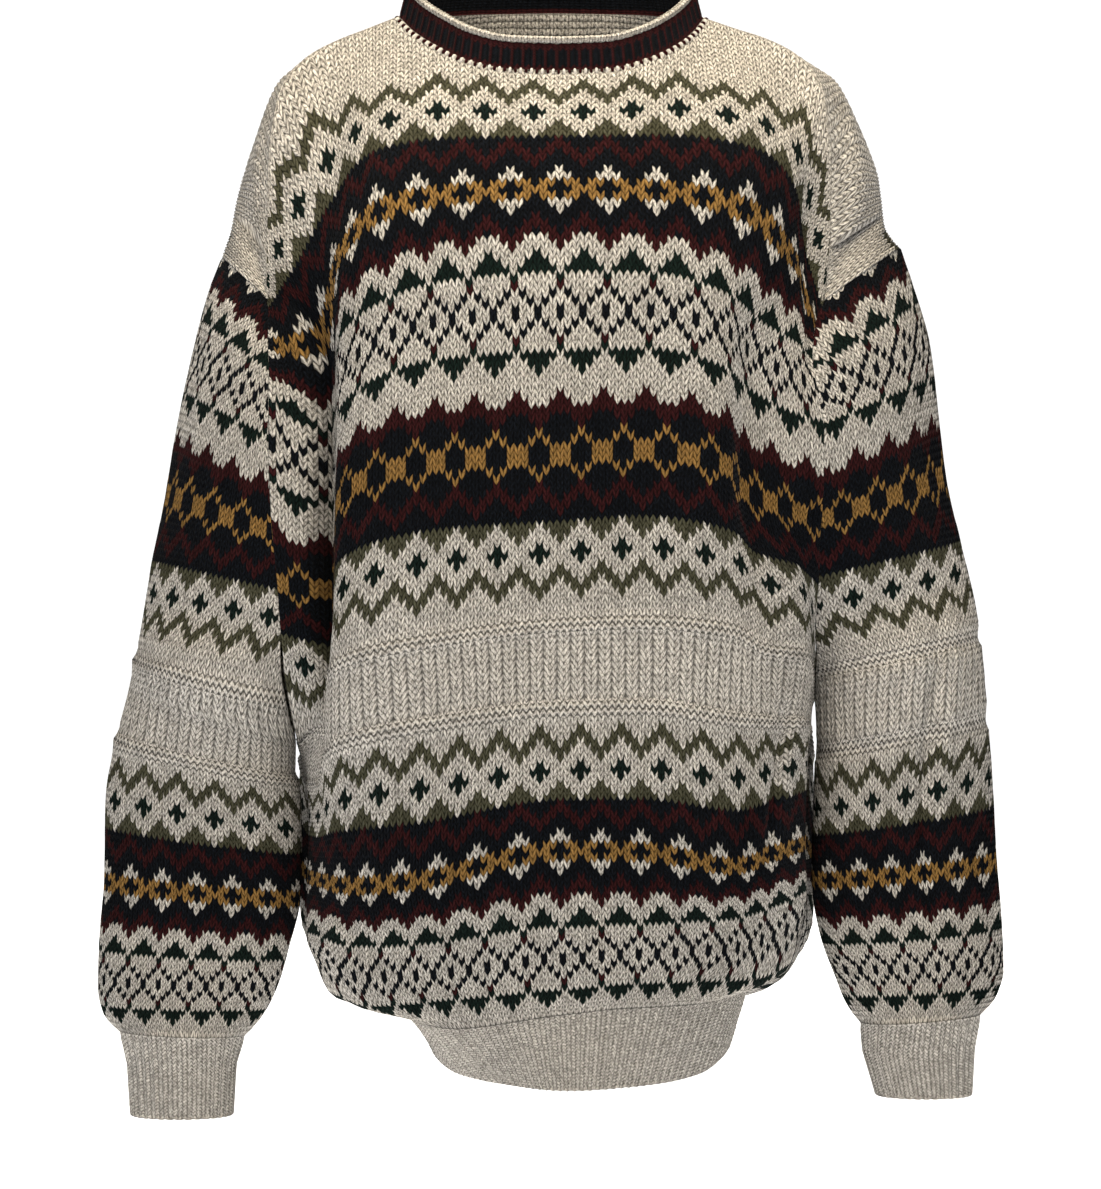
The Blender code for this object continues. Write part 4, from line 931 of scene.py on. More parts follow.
def panel(face):
    """Front or back panel."""
    form = PanelForm(face)
    stitches = np.arange(-HALF_STITCHES, HALF_STITCHES + 0.1, 1 / STEP)
    tops = np.array([top_course(face, stitch) for stitch in stitches])
    first = int(math.ceil(tops.min()))
    lines = course_lines(first)
    places, rooms = [], []
    for index, stitch in enumerate(stitches):
        _, reach = form.side_of(stitch, lines)
        room = np.clip((reach - abs(stitch)) / 0.75, 0, 1)
        room[-1] = 0
        places.append(np.maximum(lines + VEE_LEAN[index % STEP] * room * leaned(lines), tops[index]))
        rooms.append(room * np.clip((lines - tops[index]) / 1.5, 0, 1))
    places, room = np.array(places).T, np.array(rooms).T
    grid = form.columns(stitches, places.T).transpose(1, 0, 2)
    courses = np.arange(first, first + len(lines) - 1)
    yarn, behind = yarn_grid(courses, np.arange(len(stitches) // STEP) - int(HALF_STITCHES))
    cloth = Cloth(face, grid, STEP, (0, -1 if face == "front" else 1, 0),
                  relief_grid(lines, len(stitches), room), np.repeat(yarn, STEP, axis=1), behind, courses)
    fold = crease(face, grid, np.broadcast_to(stitches, grid.shape[:2]), places)
    cloth.grid = grid + cloth.normal * (fold * room)[..., None]
    cloth.face_outwards()
    return cloth, form


def sleeve(side):
    """One sleeve, open along the underarm seam until it is sewn."""
    form = SleeveForm(side)
    stitches = np.arange(-SLEEVE_HALF_STITCHES, SLEEVE_HALF_STITCHES + 0.1, 1 / STEP)
    first = int(CAP_COURSE) + 1
    lines = np.append(CAP_COURSE, course_lines(first))
    reach = lookup(SLEEVE_STITCHES, "course", "half", lines)[:, None]
    room = np.clip((reach - np.abs(stitches)[None, :]) / 0.75, 0, 1)
    room[0] = room[-1] = 0
    lean = np.array(VEE_LEAN)[np.arange(len(stitches)) % STEP]
    places = lines[:, None] + lean * room * leaned(lines)[:, None]
    reach = lookup(SLEEVE_STITCHES, "course", "half", places)
    held = np.clip(stitches[None, :], -reach, reach)
    parts = held / reach
    turned = lookup(SLEEVE_TURNS[side], "course", "stitches", places) / reach
    grid = form.points(parts + turned * (1 - parts ** 2), places)
    shift = SLEEVE_SHIFT[side]
    courses = np.arange(first - 1, first + len(lines) - 2)
    yarn, behind = yarn_grid(courses, np.arange(len(stitches) // STEP) - int(SLEEVE_HALF_STITCHES) + shift)
    name = "sleeve_" + side
    cloth = Cloth(name, grid, STEP, (SIDES[side]["sign"], 0, 0),
                  relief_grid(lines, len(stitches), room), np.repeat(yarn, STEP, axis=1), behind, courses)
    fold = crease(name, grid, held, places)
    cloth.grid = grid + cloth.normal * (fold * room)[..., None]
    cloth.face_outwards()
    return cloth, form


def rib_parts(courses):
    """Grid rows of a rib, two to each course."""
    return np.linspace(0, 1, 2 * courses + 1)


def ribbed(name, at, ribs, courses, outward, closed, colours):
    """Ribbed piece; at(column places, part) gives one row of its middle surface."""
    count = ribs * RIB_STEP + (0 if closed else 1)
    cols = np.arange(count) / (ribs * RIB_STEP)
    parts = rib_parts(courses)
    grid = np.array([at(cols, part) for part in parts])
    lean = np.array(RIB_LEAN)[np.arange(count) % RIB_STEP]
    down = np.gradient(grid, axis=0)
    room = np.clip(np.minimum(np.arange(len(parts)), np.arange(len(parts))[::-1]) / 1.0, 0, 1)
    room[-1] = 0
    grid = grid + down * 2 * (lean * room[:, None])[..., None]
    relief = np.tile(np.array(RIB_RELIEF)[np.arange(count) % RIB_STEP], (len(parts), 1))
    # each course of a rib bellies out a little between its ties
    relief = relief * np.where(np.arange(len(parts)) % 2 == 0, 0.86, 1.12)[:, None]
    # where it is joined on, the rib is as thick as the plain cloth and flat
    relief[:2] = relief[:2] * ((0.0,), (0.5,)) + (HALF_WALL - RIB_HALF_WALL) * JOIN_RELIEF
    yarn = colours(np.arange(len(parts) - 1) // 2, np.arange(ribs * RIB_STEP) % RIB_STEP)
    return Cloth(name, grid, RIB_STEP, outward, relief, yarn, yarn[:, ::RIB_STEP], (), RIB_HALF_WALL, closed)


def plain_yarn(courses, places):
    """Oatmeal all over."""
    return np.zeros((len(courses), len(places)), int)


def hem_rib(face, form):
    """Hem rib of one panel, down from its last course."""
    table = HEM_FRONT if face == "front" else HEM_BACK

    def at(cols, part):
        """One row of the rib's middle surface."""
        stitches = (cols * 2 - 1) * HALF_STITCHES
        top = form.columns(stitches, np.full((len(stitches), 1), HEM_COURSE))[:, 0]
        return top + (along(table, "stitch", stitches) - top) * part

    return ribbed("hem_rib_" + face, at, HEM_RIBS, HEM_RIB_COURSES, (0, -1 if face == "front" else 1, 0),
                  False, plain_yarn)


def cuff(side, form):
    """Ribbed cuff, a closed ring down from the last course of a sleeve."""
    table = SIDES[side]["cuff"]
    sign = SIDES[side]["sign"]
    drops = np.concatenate([[0], column(table, "drop")])

    def at(cols, part):
        """One row of the rib's middle surface."""
        turns = 1 - 2 * cols
        rings = [form.points(turns, np.full(len(turns), HEM_COURSE))]
        for row in table:
            angle = turns * math.pi
            rings.append(np.stack([row.x + sign * row.half_width * np.cos(angle),
                                   row.y - row.half_depth * np.sin(angle),
                                   np.full(len(turns), float(row.z))], axis=1))
        knee = drops[1]
        if part <= knee:
            return rings[0] + (rings[1] - rings[0]) * (part / knee)
        return rings[1] + (rings[2] - rings[1]) * ((part - knee) / (1 - knee))

    return ribbed("cuff_" + side, at, CUFF_RIBS, CUFF_RIB_COURSES, (sign, 0, 0), True, plain_yarn)


def neck_line(turns):
    """Seam line of the neckband; turn 0 and 1 at the front, 0.5 at the back."""
    places = np.mod(turns, 1.0)
    ahead = (places < 0.25) | (places > 0.75)
    from_front = np.where(places < 0.5, places, 1 - places) / 0.25
    stitch = NECK_STITCH * np.where(ahead, from_front, 2 - from_front)
    result = np.zeros((len(places), 3))
    for face, on_face in (("front", ahead), ("back", ~ahead)):
        for side, on_side in (("right", places < 0.5), ("left", places >= 0.5)):
            here = on_face & on_side
            if here.any():
                result[here] = along(SIDES[side]["neck_" + face], "stitch", stitch[here])
    return result


@lru_cache(maxsize=None)
def neck_spread():
    """Turns at even steps of length along the neck seam."""
    fine = np.linspace(0, 1, 801)
    length = line_length(neck_line(fine))
    return fine, length / length[-1]


def neck_at(parts, height):
    """Neckband at even parts of its length, and the way inwards there."""
    fine, length = neck_spread()
    turns = np.interp(np.mod(parts, 1.0), length, fine)
    base = neck_line(turns)
    inward = np.array(NECK_MIDDLE) - base
    inward[:, 2] = 0
    inward = unit(inward)
    rise = lookup(NECKBAND, "turn", "rise", turns)[:, None]
    lean = lookup(NECKBAND, "turn", "lean", turns)[:, None]
    return base + np.array([0, 0, 1.0]) * rise * height + inward * lean * height, inward


def neck_yarn(courses, places):
    """Burgundy edges, and between them navy ribs with burgundy hollows."""
    navy, burgundy = YARN_LETTERS.index("n"), YARN_LETTERS.index("b")
    edge = (courses == 0) | (courses == courses.max())
    return np.where(edge[:, None] | (places >= RIB_STEP - 2)[None, :], burgundy, navy)


def neckband():
    """Ribbed neckband, a closed ring standing on the neck seam."""
    return ribbed("neckband", lambda cols, part: neck_at(cols, part)[0], NECK_RIBS, NECKBAND_COURSES,
                  (0, 1, 0), True, neck_yarn)


@lru_cache(maxsize=None)
def knitted():
    """Every piece of cloth, its edges shared with its neighbours."""
    front, front_form = panel("front")
    back, back_form = panel("back")
    left, left_form = sleeve("left")
    right, right_form = sleeve("right")
    cloths = [front, back, left, right, hem_rib("front", front_form), hem_rib("back", back_form),
              cuff("left", left_form), cuff("right", right_form), neckband()]
    share_seams(cloths)
    return {cloth.name: cloth for cloth in cloths}


# ---------------------------------------------------------------- nodes
def node(tree, kind, settings=None, inputs=None):
    """Add a node with its settings, and its inputs set or linked."""
    item = tree.nodes.new(kind)
    for name, value in (settings or {}).items():
        setattr(item, name, value)
    for socket, value in (inputs or {}).items():
        if isinstance(value, bpy.types.NodeSocket):
            tree.links.new(value, item.inputs[socket])
        else:
            item.inputs[socket].default_value = value
    return item


def hex_parts(colour):
    """Red, green and blue parts of an sRGB hex colour."""
    return [int(colour[place:place + 2], 16) / 255 for place in (1, 3, 5)]


def linear(colour):
    """Linear colour from sRGB, given as a hex string or as three parts."""
    if isinstance(colour, str):
        colour = hex_parts(colour)
    return [part / 12.92 if part <= 0.04045 else ((part + 0.055) / 1.055) ** 2.4 for part in colour]


def wool(name, colour, fleck, flecked, fuzz, uneven):
    """Matt knitted wool: round plied legs, painted shade darkening the gaps between them, and loose fibre.
    """
    material = bpy.data.materials.new(name)
    material.use_nodes = True
    tree = material.node_tree
    tree.nodes.clear()
    math_node = "ShaderNodeMath"
    stitch_map = node(tree, "ShaderNodeUVMap", {"uv_map": "stitches"})
    place = node(tree, "ShaderNodeSeparateXYZ", None, {0: stitch_map.outputs["UV"]})
    across = node(tree, math_node, {"operation": "MULTIPLY"}, {0: place.outputs["X"], 1: UV_SCALE[0]})
    down = node(tree, math_node, {"operation": "MULTIPLY"}, {0: place.outputs["Y"], 1: UV_SCALE[1]})
    # two legs to a stitch, each a round strand that leans out from the middle of the stitch
    column_part = node(tree, math_node, {"operation": "FRACT"}, {0: across.outputs[0]})
    middle = node(tree, math_node, {"operation": "SUBTRACT"}, {0: column_part.outputs[0], 1: 0.5})
    middle = node(tree, math_node, {"operation": "ABSOLUTE"}, {0: middle.outputs[0]})
    out = node(tree, math_node, {"operation": "MULTIPLY_ADD"}, {0: middle.outputs[0], 1: 4.0, 2: -1.0})
    course_part = node(tree, math_node, {"operation": "FRACT"}, {0: down.outputs[0]})
    low = node(tree, math_node, {"operation": "MULTIPLY_ADD"}, {0: course_part.outputs[0], 1: 2.0, 2: -1.0})
    leant = node(tree, math_node, {"operation": "MULTIPLY_ADD"},
                 {0: low.outputs[0], 1: 0.35, 2: out.outputs[0]})
    girth = node(tree, math_node, {"operation": "MULTIPLY"}, {0: leant.outputs[0], 1: leant.outputs[0]})
    reach = node(tree, math_node, {"operation": "ABSOLUTE"}, {0: low.outputs[0]})
    reach = node(tree, math_node, {"operation": "POWER"}, {0: reach.outputs[0], 1: 2.4})
    girth = node(tree, math_node, {"operation": "MULTIPLY_ADD"}, {0: girth.outputs[0], 1: -0.62, 2: 1.0})
    plain = node(tree, math_node, {"operation": "MULTIPLY_ADD"},
                 {0: reach.outputs[0], 1: -0.7, 2: girth.outputs[0]})
    # open courses are ribbed: one wide stitch over every two, with a hollow beside it that the bump and
    # painted shade darken
    texture = node(tree, "ShaderNodeAttribute", {"attribute_name": "texture"})
    is_open = node(tree, math_node, {"operation": "COMPARE"}, {0: texture.outputs["Fac"], 1: 1.0, 2: 0.5})
    pair = node(tree, math_node, {"operation": "MULTIPLY"}, {0: across.outputs[0], 1: 0.5})
    pair = node(tree, math_node, {"operation": "FRACT"}, {0: pair.outputs[0]})
    wide = node(tree, math_node, {"operation": "SUBTRACT"}, {0: pair.outputs[0], 1: 0.5})
    wide = node(tree, math_node, {"operation": "ABSOLUTE"}, {0: wide.outputs[0]})
    wide = node(tree, math_node, {"operation": "MULTIPLY_ADD"}, {0: wide.outputs[0], 1: 4.6, 2: -1.0})
    level_row = node(tree, math_node, {"operation": "MULTIPLY_ADD"},
                     {0: out.outputs[0], 1: -VEE, 2: down.outputs[0]})
    sunk = node(tree, math_node, {"operation": "MULTIPLY_ADD"},
                {0: wide.outputs[0], 1: 0.55, 2: level_row.outputs[0]})
    sunk = node(tree, math_node, {"operation": "FRACT"}, {0: sunk.outputs[0]})
    lower = node(tree, math_node, {"operation": "MULTIPLY_ADD"}, {0: sunk.outputs[0], 1: 2.0, 2: -1.0})
    tilted = node(tree, math_node, {"operation": "MULTIPLY_ADD"},
                  {0: lower.outputs[0], 1: 0.3, 2: wide.outputs[0]})
    girth_two = node(tree, math_node, {"operation": "MULTIPLY"},
                     {0: tilted.outputs[0], 1: tilted.outputs[0]})
    girth_two = node(tree, math_node, {"operation": "MULTIPLY_ADD"},
                     {0: girth_two.outputs[0], 1: -0.42, 2: 1.0})
    end = node(tree, math_node, {"operation": "ABSOLUTE"}, {0: lower.outputs[0]})
    end = node(tree, math_node, {"operation": "POWER"}, {0: end.outputs[0], 1: 2.4})
    opened = node(tree, math_node, {"operation": "MULTIPLY_ADD"},
                  {0: end.outputs[0], 1: -0.72, 2: girth_two.outputs[0]})
    # a purl ridge shows arcs that lie across the piece, like a wavy rope
    is_purl = node(tree, math_node, {"operation": "COMPARE"}, {0: texture.outputs["Fac"], 1: 2.0, 2: 0.5})
    turn = node(tree, math_node, {"operation": "MULTIPLY"}, {0: across.outputs[0], 1: 2 * math.pi})
    side = node(tree, math_node, {"operation": "COSINE"}, {0: turn.outputs[0]})
    arc = node(tree, math_node, {"operation": "MULTIPLY_ADD"},
               {0: side.outputs[0], 1: 0.38, 2: low.outputs[0]})
    girth = node(tree, math_node, {"operation": "MULTIPLY"}, {0: arc.outputs[0], 1: arc.outputs[0]})
    purl = node(tree, math_node, {"operation": "MULTIPLY_ADD"}, {0: girth.outputs[0], 1: -1.5, 2: 1.05})
    strand = node(tree, "ShaderNodeMix", {"data_type": "FLOAT"},
                  {"Factor": is_purl.outputs[0], 2: plain.outputs[0], 3: purl.outputs[0]})
    strand = node(tree, "ShaderNodeMix", {"data_type": "FLOAT"},
                  {"Factor": is_open.outputs[0], 2: strand.outputs[0], 3: opened.outputs[0]})
    # the ply is drawn at about 1.5 mm, coarser than the real twist, so that it shows
    lay = node(tree, math_node, {"operation": "MULTIPLY_ADD"},
               {0: down.outputs[0], 1: 6 * math.pi, 2: turn.outputs[0]})
    twist = node(tree, math_node, {"operation": "SINE"}, {0: lay.outputs[0]})
    body = node(tree, "ShaderNodeTexCoord")
    fibre = node(tree, "ShaderNodeTexNoise", None,
                 {"Vector": body.outputs["Object"], "Scale": 1300.0, "Detail": 3.0, "Roughness": 0.7})
    plied = node(tree, math_node, {"operation": "MULTIPLY_ADD"},
                 {0: twist.outputs[0], 1: 0.10, 2: strand.outputs[0]})
    height = node(tree, math_node, {"operation": "MULTIPLY_ADD"},
                  {0: fibre.outputs["Fac"], 1: 0.35, 2: plied.outputs[0]})
    bump = node(tree, "ShaderNodeBump", None,
                {"Strength": 0.6, "Distance": 0.001, "Height": height.outputs[0]})
    # every leg takes the dye a little differently
    legs = node(tree, math_node, {"operation": "MULTIPLY"}, {0: across.outputs[0], 1: 2.0})
    leg_number = node(tree, math_node, {"operation": "FLOOR"}, {0: legs.outputs[0]})
    course_number = node(tree, math_node, {"operation": "FLOOR"}, {0: down.outputs[0]})
    which_leg = node(tree, "ShaderNodeCombineXYZ", None,
                  {"X": leg_number.outputs[0], "Y": course_number.outputs[0]})
    dye = node(tree, "ShaderNodeTexWhiteNoise", {"noise_dimensions": "2D"}, {"Vector": which_leg.outputs[0]})
    shade = node(tree, "ShaderNodeMapRange", None,
                 {"Value": dye.outputs["Value"], "To Min": 1.0 - uneven, "To Max": 1.0 + uneven})
    worn = node(tree, "ShaderNodeTexNoise", None,
                {"Vector": body.outputs["Object"], "Scale": 9.0, "Detail": 2.0})
    faded = node(tree, "ShaderNodeMapRange", None,
                 {"Value": worn.outputs["Fac"], "From Min": 0.3, "From Max": 0.7,
                  "To Min": 0.94, "To Max": 1.06})
    fuzzed = node(tree, "ShaderNodeMapRange", None,
                  {"Value": fibre.outputs["Fac"], "From Min": 0.25, "From Max": 0.75,
                   "To Min": 1.0 - fuzz, "To Max": 1.0 + fuzz})
    # painted shade: the colour darkens where the strands sink, in the gaps between legs, in the hollows of
    # the open courses and between the purl arcs
    gap_shade = node(tree, "ShaderNodeMapRange", {"interpolation_type": "SMOOTHSTEP"},
                {"Value": strand.outputs[0], "From Min": 0.05, "From Max": 0.9,
                 "To Min": 0.26, "To Max": 1.06})
    level = node(tree, math_node, {"operation": "MULTIPLY"}, {0: shade.outputs[0], 1: faded.outputs[0]})
    level = node(tree, math_node, {"operation": "MULTIPLY"}, {0: level.outputs[0], 1: fuzzed.outputs[0]})
    level = node(tree, math_node, {"operation": "MULTIPLY"}, {0: level.outputs[0], 1: gap_shade.outputs[0]})
    # second ply of another colour, in flecks a millimetre wide that run along the leg
    along_leg = node(tree, "ShaderNodeCombineXYZ", None, {"X": across.outputs[0], "Y": down.outputs[0]})
    stretched = node(tree, "ShaderNodeMapping", None,
                     {"Vector": along_leg.outputs[0], "Scale": (4.5, 2.4, 1.0)})
    grain = node(tree, "ShaderNodeTexNoise", {"noise_dimensions": "2D"},
                 {"Vector": stretched.outputs[0], "Scale": 1.0, "Detail": 2.0, "Roughness": 0.6})
    flecks = node(tree, "ShaderNodeMapRange", {"interpolation_type": "SMOOTHSTEP"},
                  {"Value": grain.outputs["Fac"], "From Min": 0.44, "From Max": 0.62,
                   "To Min": 0.0, "To Max": flecked})
    dyed = node(tree, "ShaderNodeMix", {"data_type": "RGBA"},
                {"Factor": flecks.outputs[0], 6: (*linear(colour), 1.0), 7: (*linear(fleck), 1.0)})
    lit = node(tree, "ShaderNodeVectorMath", {"operation": "SCALE"},
               {0: dyed.outputs[2], "Scale": level.outputs[0]})
    shader = node(tree, "ShaderNodeBsdfPrincipled", None,
                  {"Base Color": lit.outputs[0], "Roughness": 0.92, "IOR": 1.54, "Specular IOR Level": 0.02,
                   "Sheen Weight": 0.015, "Sheen Roughness": 0.6, "Normal": bump.outputs[0]})
    node(tree, "ShaderNodeOutputMaterial", None, {"Surface": shader.outputs[0]})
    return material


def yarn_materials(settings):
    """One wool for each letter of the charts, in their order."""
    return [
        # undyed and brown fleece carded together: pale and speckled like salt and pepper
        wool("Oatmeal marled lambswool, plied and knitted", settings.oatmeal, settings.oatmeal_fleck,
             0.75, 0.16, 0.2),
        # dull yellow-green, its brown fibres showing through
        wool("Moss green Shetland wool, dyed and plied", settings.moss, "#302f22", 0.7, 0.18, 0.22),
        # near black with a green cast where the light catches it
        wool("Pine green Shetland wool, dyed and plied", settings.pine, "#182622", 0.5, 0.2, 0.2),
        # dark wine with redder fibres on the crown of each leg
        wool("Burgundy Shetland wool, dyed and plied", settings.burgundy, "#38191b", 0.5, 0.2, 0.2),
        # blue-black with slate fibres
        wool("Navy Shetland wool, dyed and plied", settings.navy, "#161b23", 0.5, 0.2, 0.2),
        # heather of gold and brown
        wool("Ochre heather wool, dyed and plied", settings.ochre, "#55432a", 0.6, 0.16, 0.2),
    ]


def stitch_tree(materials):
    """Raise the stitches off a wall of cloth and give each its wool."""
    tree = bpy.data.node_groups.new("Knitted stitches", "GeometryNodeTree")
    sockets = tree.interface
    sockets.new_socket(name="Geometry", in_out="INPUT", socket_type="NodeSocketGeometry")
    sockets.new_socket(name="Stitch height", in_out="INPUT", socket_type="NodeSocketFloat")
    sockets.new_socket(name="Unevenness", in_out="INPUT", socket_type="NodeSocketFloat")
    sockets.new_socket(name="Stitch size", in_out="INPUT", socket_type="NodeSocketFloat")
    sockets.new_socket(name="Geometry", in_out="OUTPUT", socket_type="NodeSocketGeometry")
    given = node(tree, "NodeGroupInput")
    ridge = node(tree, "GeometryNodeInputNamedAttribute", {"data_type": "FLOAT"}, {"Name": "ridge"})
    normal = node(tree, "GeometryNodeInputNormal")
    position = node(tree, "GeometryNodeInputPosition")
    scale = node(tree, "ShaderNodeMath", {"operation": "DIVIDE"}, {0: 0.45, 1: given.outputs["Stitch size"]})
    noise = node(tree, "ShaderNodeTexNoise", {"noise_dimensions": "4D"},
                 {"Vector": position.outputs[0], "W": 3.7, "Scale": scale.outputs[0], "Detail": 1.0})
    about = node(tree, "ShaderNodeMath", {"operation": "SUBTRACT"}, {0: noise.outputs["Fac"], 1: 0.5})
    uneven = node(tree, "ShaderNodeMath", {"operation": "MULTIPLY_ADD"},
                  {0: about.outputs[0], 1: given.outputs["Unevenness"], 2: 1.0})
    height = node(tree, "ShaderNodeMath", {"operation": "MULTIPLY"},
                  {0: ridge.outputs["Attribute"], 1: given.outputs["Stitch height"]})
    varied = node(tree, "ShaderNodeMath", {"operation": "MULTIPLY"},
                  {0: height.outputs[0], 1: uneven.outputs[0]})
    offset = node(tree, "ShaderNodeVectorMath", {"operation": "SCALE"},
                  {0: normal.outputs[0], "Scale": varied.outputs[0]})
    moved = node(tree, "GeometryNodeSetPosition", None,
                 {"Geometry": given.outputs["Geometry"], "Offset": offset.outputs[0]})
    result = node(tree, "GeometryNodeRealizeInstances", None, {"Geometry": moved.outputs[0]})
    yarn = node(tree, "GeometryNodeInputNamedAttribute", {"data_type": "INT"}, {"Name": "yarn"})
    for number, material in enumerate(materials):
        chosen = node(tree, "FunctionNodeCompare", {"data_type": "INT", "operation": "EQUAL"},
                      {2: yarn.outputs["Attribute"], 3: number})
        result = node(tree, "GeometryNodeSetMaterial", None,
                      {"Geometry": result.outputs[0], "Selection": chosen.outputs[0], "Material": material})
    node(tree, "NodeGroupOutput", None, {"Geometry": result.outputs[0]})
    return tree


def picked_up_tree(materials):
    """Small stitches along a seam line, in two wools by turns."""
    tree = bpy.data.node_groups.new("Picked up stitches", "GeometryNodeTree")
    sockets = tree.interface
    sockets.new_socket(name="Geometry", in_out="INPUT", socket_type="NodeSocketGeometry")
    sockets.new_socket(name="Stitches", in_out="INPUT", socket_type="NodeSocketInt")
    sockets.new_socket(name="Yarn radius", in_out="INPUT", socket_type="NodeSocketFloat")
    sockets.new_socket(name="Stitch length", in_out="INPUT", socket_type="NodeSocketFloat")
    sockets.new_socket(name="Geometry", in_out="OUTPUT", socket_type="NodeSocketGeometry")
    given = node(tree, "NodeGroupInput")
    curve = node(tree, "GeometryNodeMeshToCurve", None, {"Mesh": given.outputs["Geometry"]})
    points = node(tree, "GeometryNodeCurveToPoints", {"mode": "COUNT"},
                  {"Curve": curve.outputs[0], "Count": given.outputs["Stitches"]})
    bar = node(tree, "GeometryNodeMeshUVSphere", None, {"Segments": 8, "Rings": 5, "Radius": 1.0})
    size = node(tree, "ShaderNodeCombineXYZ", None,
                {"X": given.outputs["Stitch length"], "Y": given.outputs["Stitch length"],
                 "Z": given.outputs["Yarn radius"]})
    placed = node(tree, "GeometryNodeInstanceOnPoints", None,
                  {"Points": points.outputs["Points"], "Instance": bar.outputs["Mesh"],
                   "Rotation": points.outputs["Rotation"], "Scale": size.outputs[0]})
    index = node(tree, "GeometryNodeInputIndex")
    odd = node(tree, "ShaderNodeMath", {"operation": "MODULO"}, {0: index.outputs[0], 1: 2.0})
    named = node(tree, "GeometryNodeStoreNamedAttribute", {"data_type": "INT", "domain": "INSTANCE"},
                 {"Geometry": placed.outputs[0], "Name": "by_turns", "Value": odd.outputs[0]})
    result = node(tree, "GeometryNodeRealizeInstances", None, {"Geometry": named.outputs[0]})
    # every bead shows the full round of one leg
    result = node(tree, "GeometryNodeStoreNamedAttribute", {"data_type": "FLOAT2", "domain": "CORNER"},
                  {"Geometry": result.outputs[0], "Name": "stitches",
                   "Value": (0.25 / UV_SCALE[0], 0.5 / UV_SCALE[1], 0.0)})
    turns = node(tree, "GeometryNodeInputNamedAttribute", {"data_type": "INT"}, {"Name": "by_turns"})
    for number, material in enumerate(materials):
        chosen = node(tree, "FunctionNodeCompare", {"data_type": "INT", "operation": "EQUAL"},
                      {2: turns.outputs["Attribute"], 3: number})
        result = node(tree, "GeometryNodeSetMaterial", None,
                      {"Geometry": result.outputs[0], "Selection": chosen.outputs[0], "Material": material})
    node(tree, "NodeGroupOutput", None, {"Geometry": result.outputs[0]})
    return tree


def socket_of(tree, name):
    """Identifier of a tree's input."""
    return next(item.identifier for item in tree.interface.items_tree
                if item.item_type == "SOCKET" and item.in_out == "INPUT" and item.name == name)


def made_with(tree, mesh, name, values, strip=()):
    """Plain object from a mesh worked by a tree, with the tree's named inputs set."""
    raw = bpy.data.objects.new(name + "_raw", mesh)
    bpy.context.scene.collection.objects.link(raw)
    modifier = raw.modifiers.new("Stitches", "NODES")
    modifier.node_group = tree
    for label, value in values.items():
        modifier[socket_of(tree, label)] = value
    raw.update_tag()
    bpy.context.view_layer.update()
    done = bpy.data.meshes.new_from_object(raw.evaluated_get(bpy.context.evaluated_depsgraph_get()))
    raw.modifiers.remove(modifier)
    bpy.data.objects.remove(raw, do_unlink=True)
    done.name = name
    for label in strip:
        if label in done.attributes:
            done.attributes.remove(done.attributes[label])
    if not done.polygons:
        raise RuntimeError(name + " came out empty")
    result = bpy.data.objects.new(name, done)
    bpy.context.scene.collection.objects.link(result)
    return result


def settle(piece, slot, *nodes):
    """Ride the body and stand for the solids; the slot is not used."""
    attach(piece, "root")
    if nodes:
        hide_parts(*nodes)


def knit(context, name):
    """Knit one piece of cloth over the solid of the same name; the cut is an estimate of its flat size."""
    settings = context.scene.jumper
    piece = made_with(shared_tree(), wall_mesh(knitted()[name]), name + "_knit",
                      {"Stitch height": settings.stitch_height, "Unevenness": settings.unevenness,
                       "Stitch size": settings.stitch_size}, ("ridge", "yarn"))
    settle(piece, name, name)
    return piece


@lru_cache(maxsize=None)
def shared_yarns():
    """Wools of the jumper, made once."""
    return yarn_materials(bpy.context.scene.jumper)


@lru_cache(maxsize=None)
def shared_tree():
    """Stitch tree of the jumper, made once."""
    return stitch_tree(shared_yarns())


def neck_roll_mesh():
    """Rolled edge along the top of the neckband: a tube with its stitches wound round it."""
    count, sides = 2 * NECK_RIBS * STEP, 12
    base, inward = neck_at(np.arange(count) / count, 1.0)
    centre = base + np.array([0, 0, NECK_ROLL + ROLL_LIFT])
    angle = 2 * math.pi * np.arange(sides) / sides
    # a stitch to every rib and hollow, its loop standing out across the roll
    swell = 0.32 * np.cos(2 * math.pi * np.arange(count) / STEP)[:, None] * np.ones(sides)
    radius = NECK_ROLL * ROLL_CORE + swell
    points = (centre[:, None] - inward[:, None] * (radius * np.cos(angle))[..., None]
              + np.array([0, 0, 1.0]) * (radius * np.sin(angle))[..., None])
    ring, side = np.meshgrid(np.arange(count), np.arange(sides), indexing="ij")
    ring, side = ring.ravel(), side.ravel()
    after, beyond = (ring + 1) % count, (side + 1) % sides
    faces = np.stack([ring * sides + side, after * sides + side,
                      after * sides + beyond, ring * sides + beyond], axis=1)
    place = np.stack([np.repeat(np.arange(count) / STEP, sides),
                      np.tile(np.arange(sides) / 3.0, count)], axis=1)
    points = points.reshape(-1, 3)
    a, b, c, d = points[faces[0]]
    if np.dot(np.cross(c - a, d - b), a - centre[0]) < 0:
        faces = faces[:, ::-1]
    none = np.zeros(len(faces), int)
    return mesh_from("neck_roll", points, faces, none, none, np.zeros(len(points)), place)


def seam_mesh(name, points, closed):
    """Line of edges through points."""
    mesh = bpy.data.meshes.new(name)
    last = len(points) if closed else len(points) - 1
    edges = [(index, (index + 1) % len(points)) for index in range(last)]
    mesh.from_pydata([tuple(point * MM) for point in points], edges, [])
    return mesh


# ---------------------------------------------------------------- settings
def colour_setting(name, words, colour):
    """Colour property, from sRGB hex."""
    return FloatVectorProperty(name=name, description=words, subtype="COLOR_GAMMA", size=3, min=0, max=1,
                               default=hex_parts(colour))


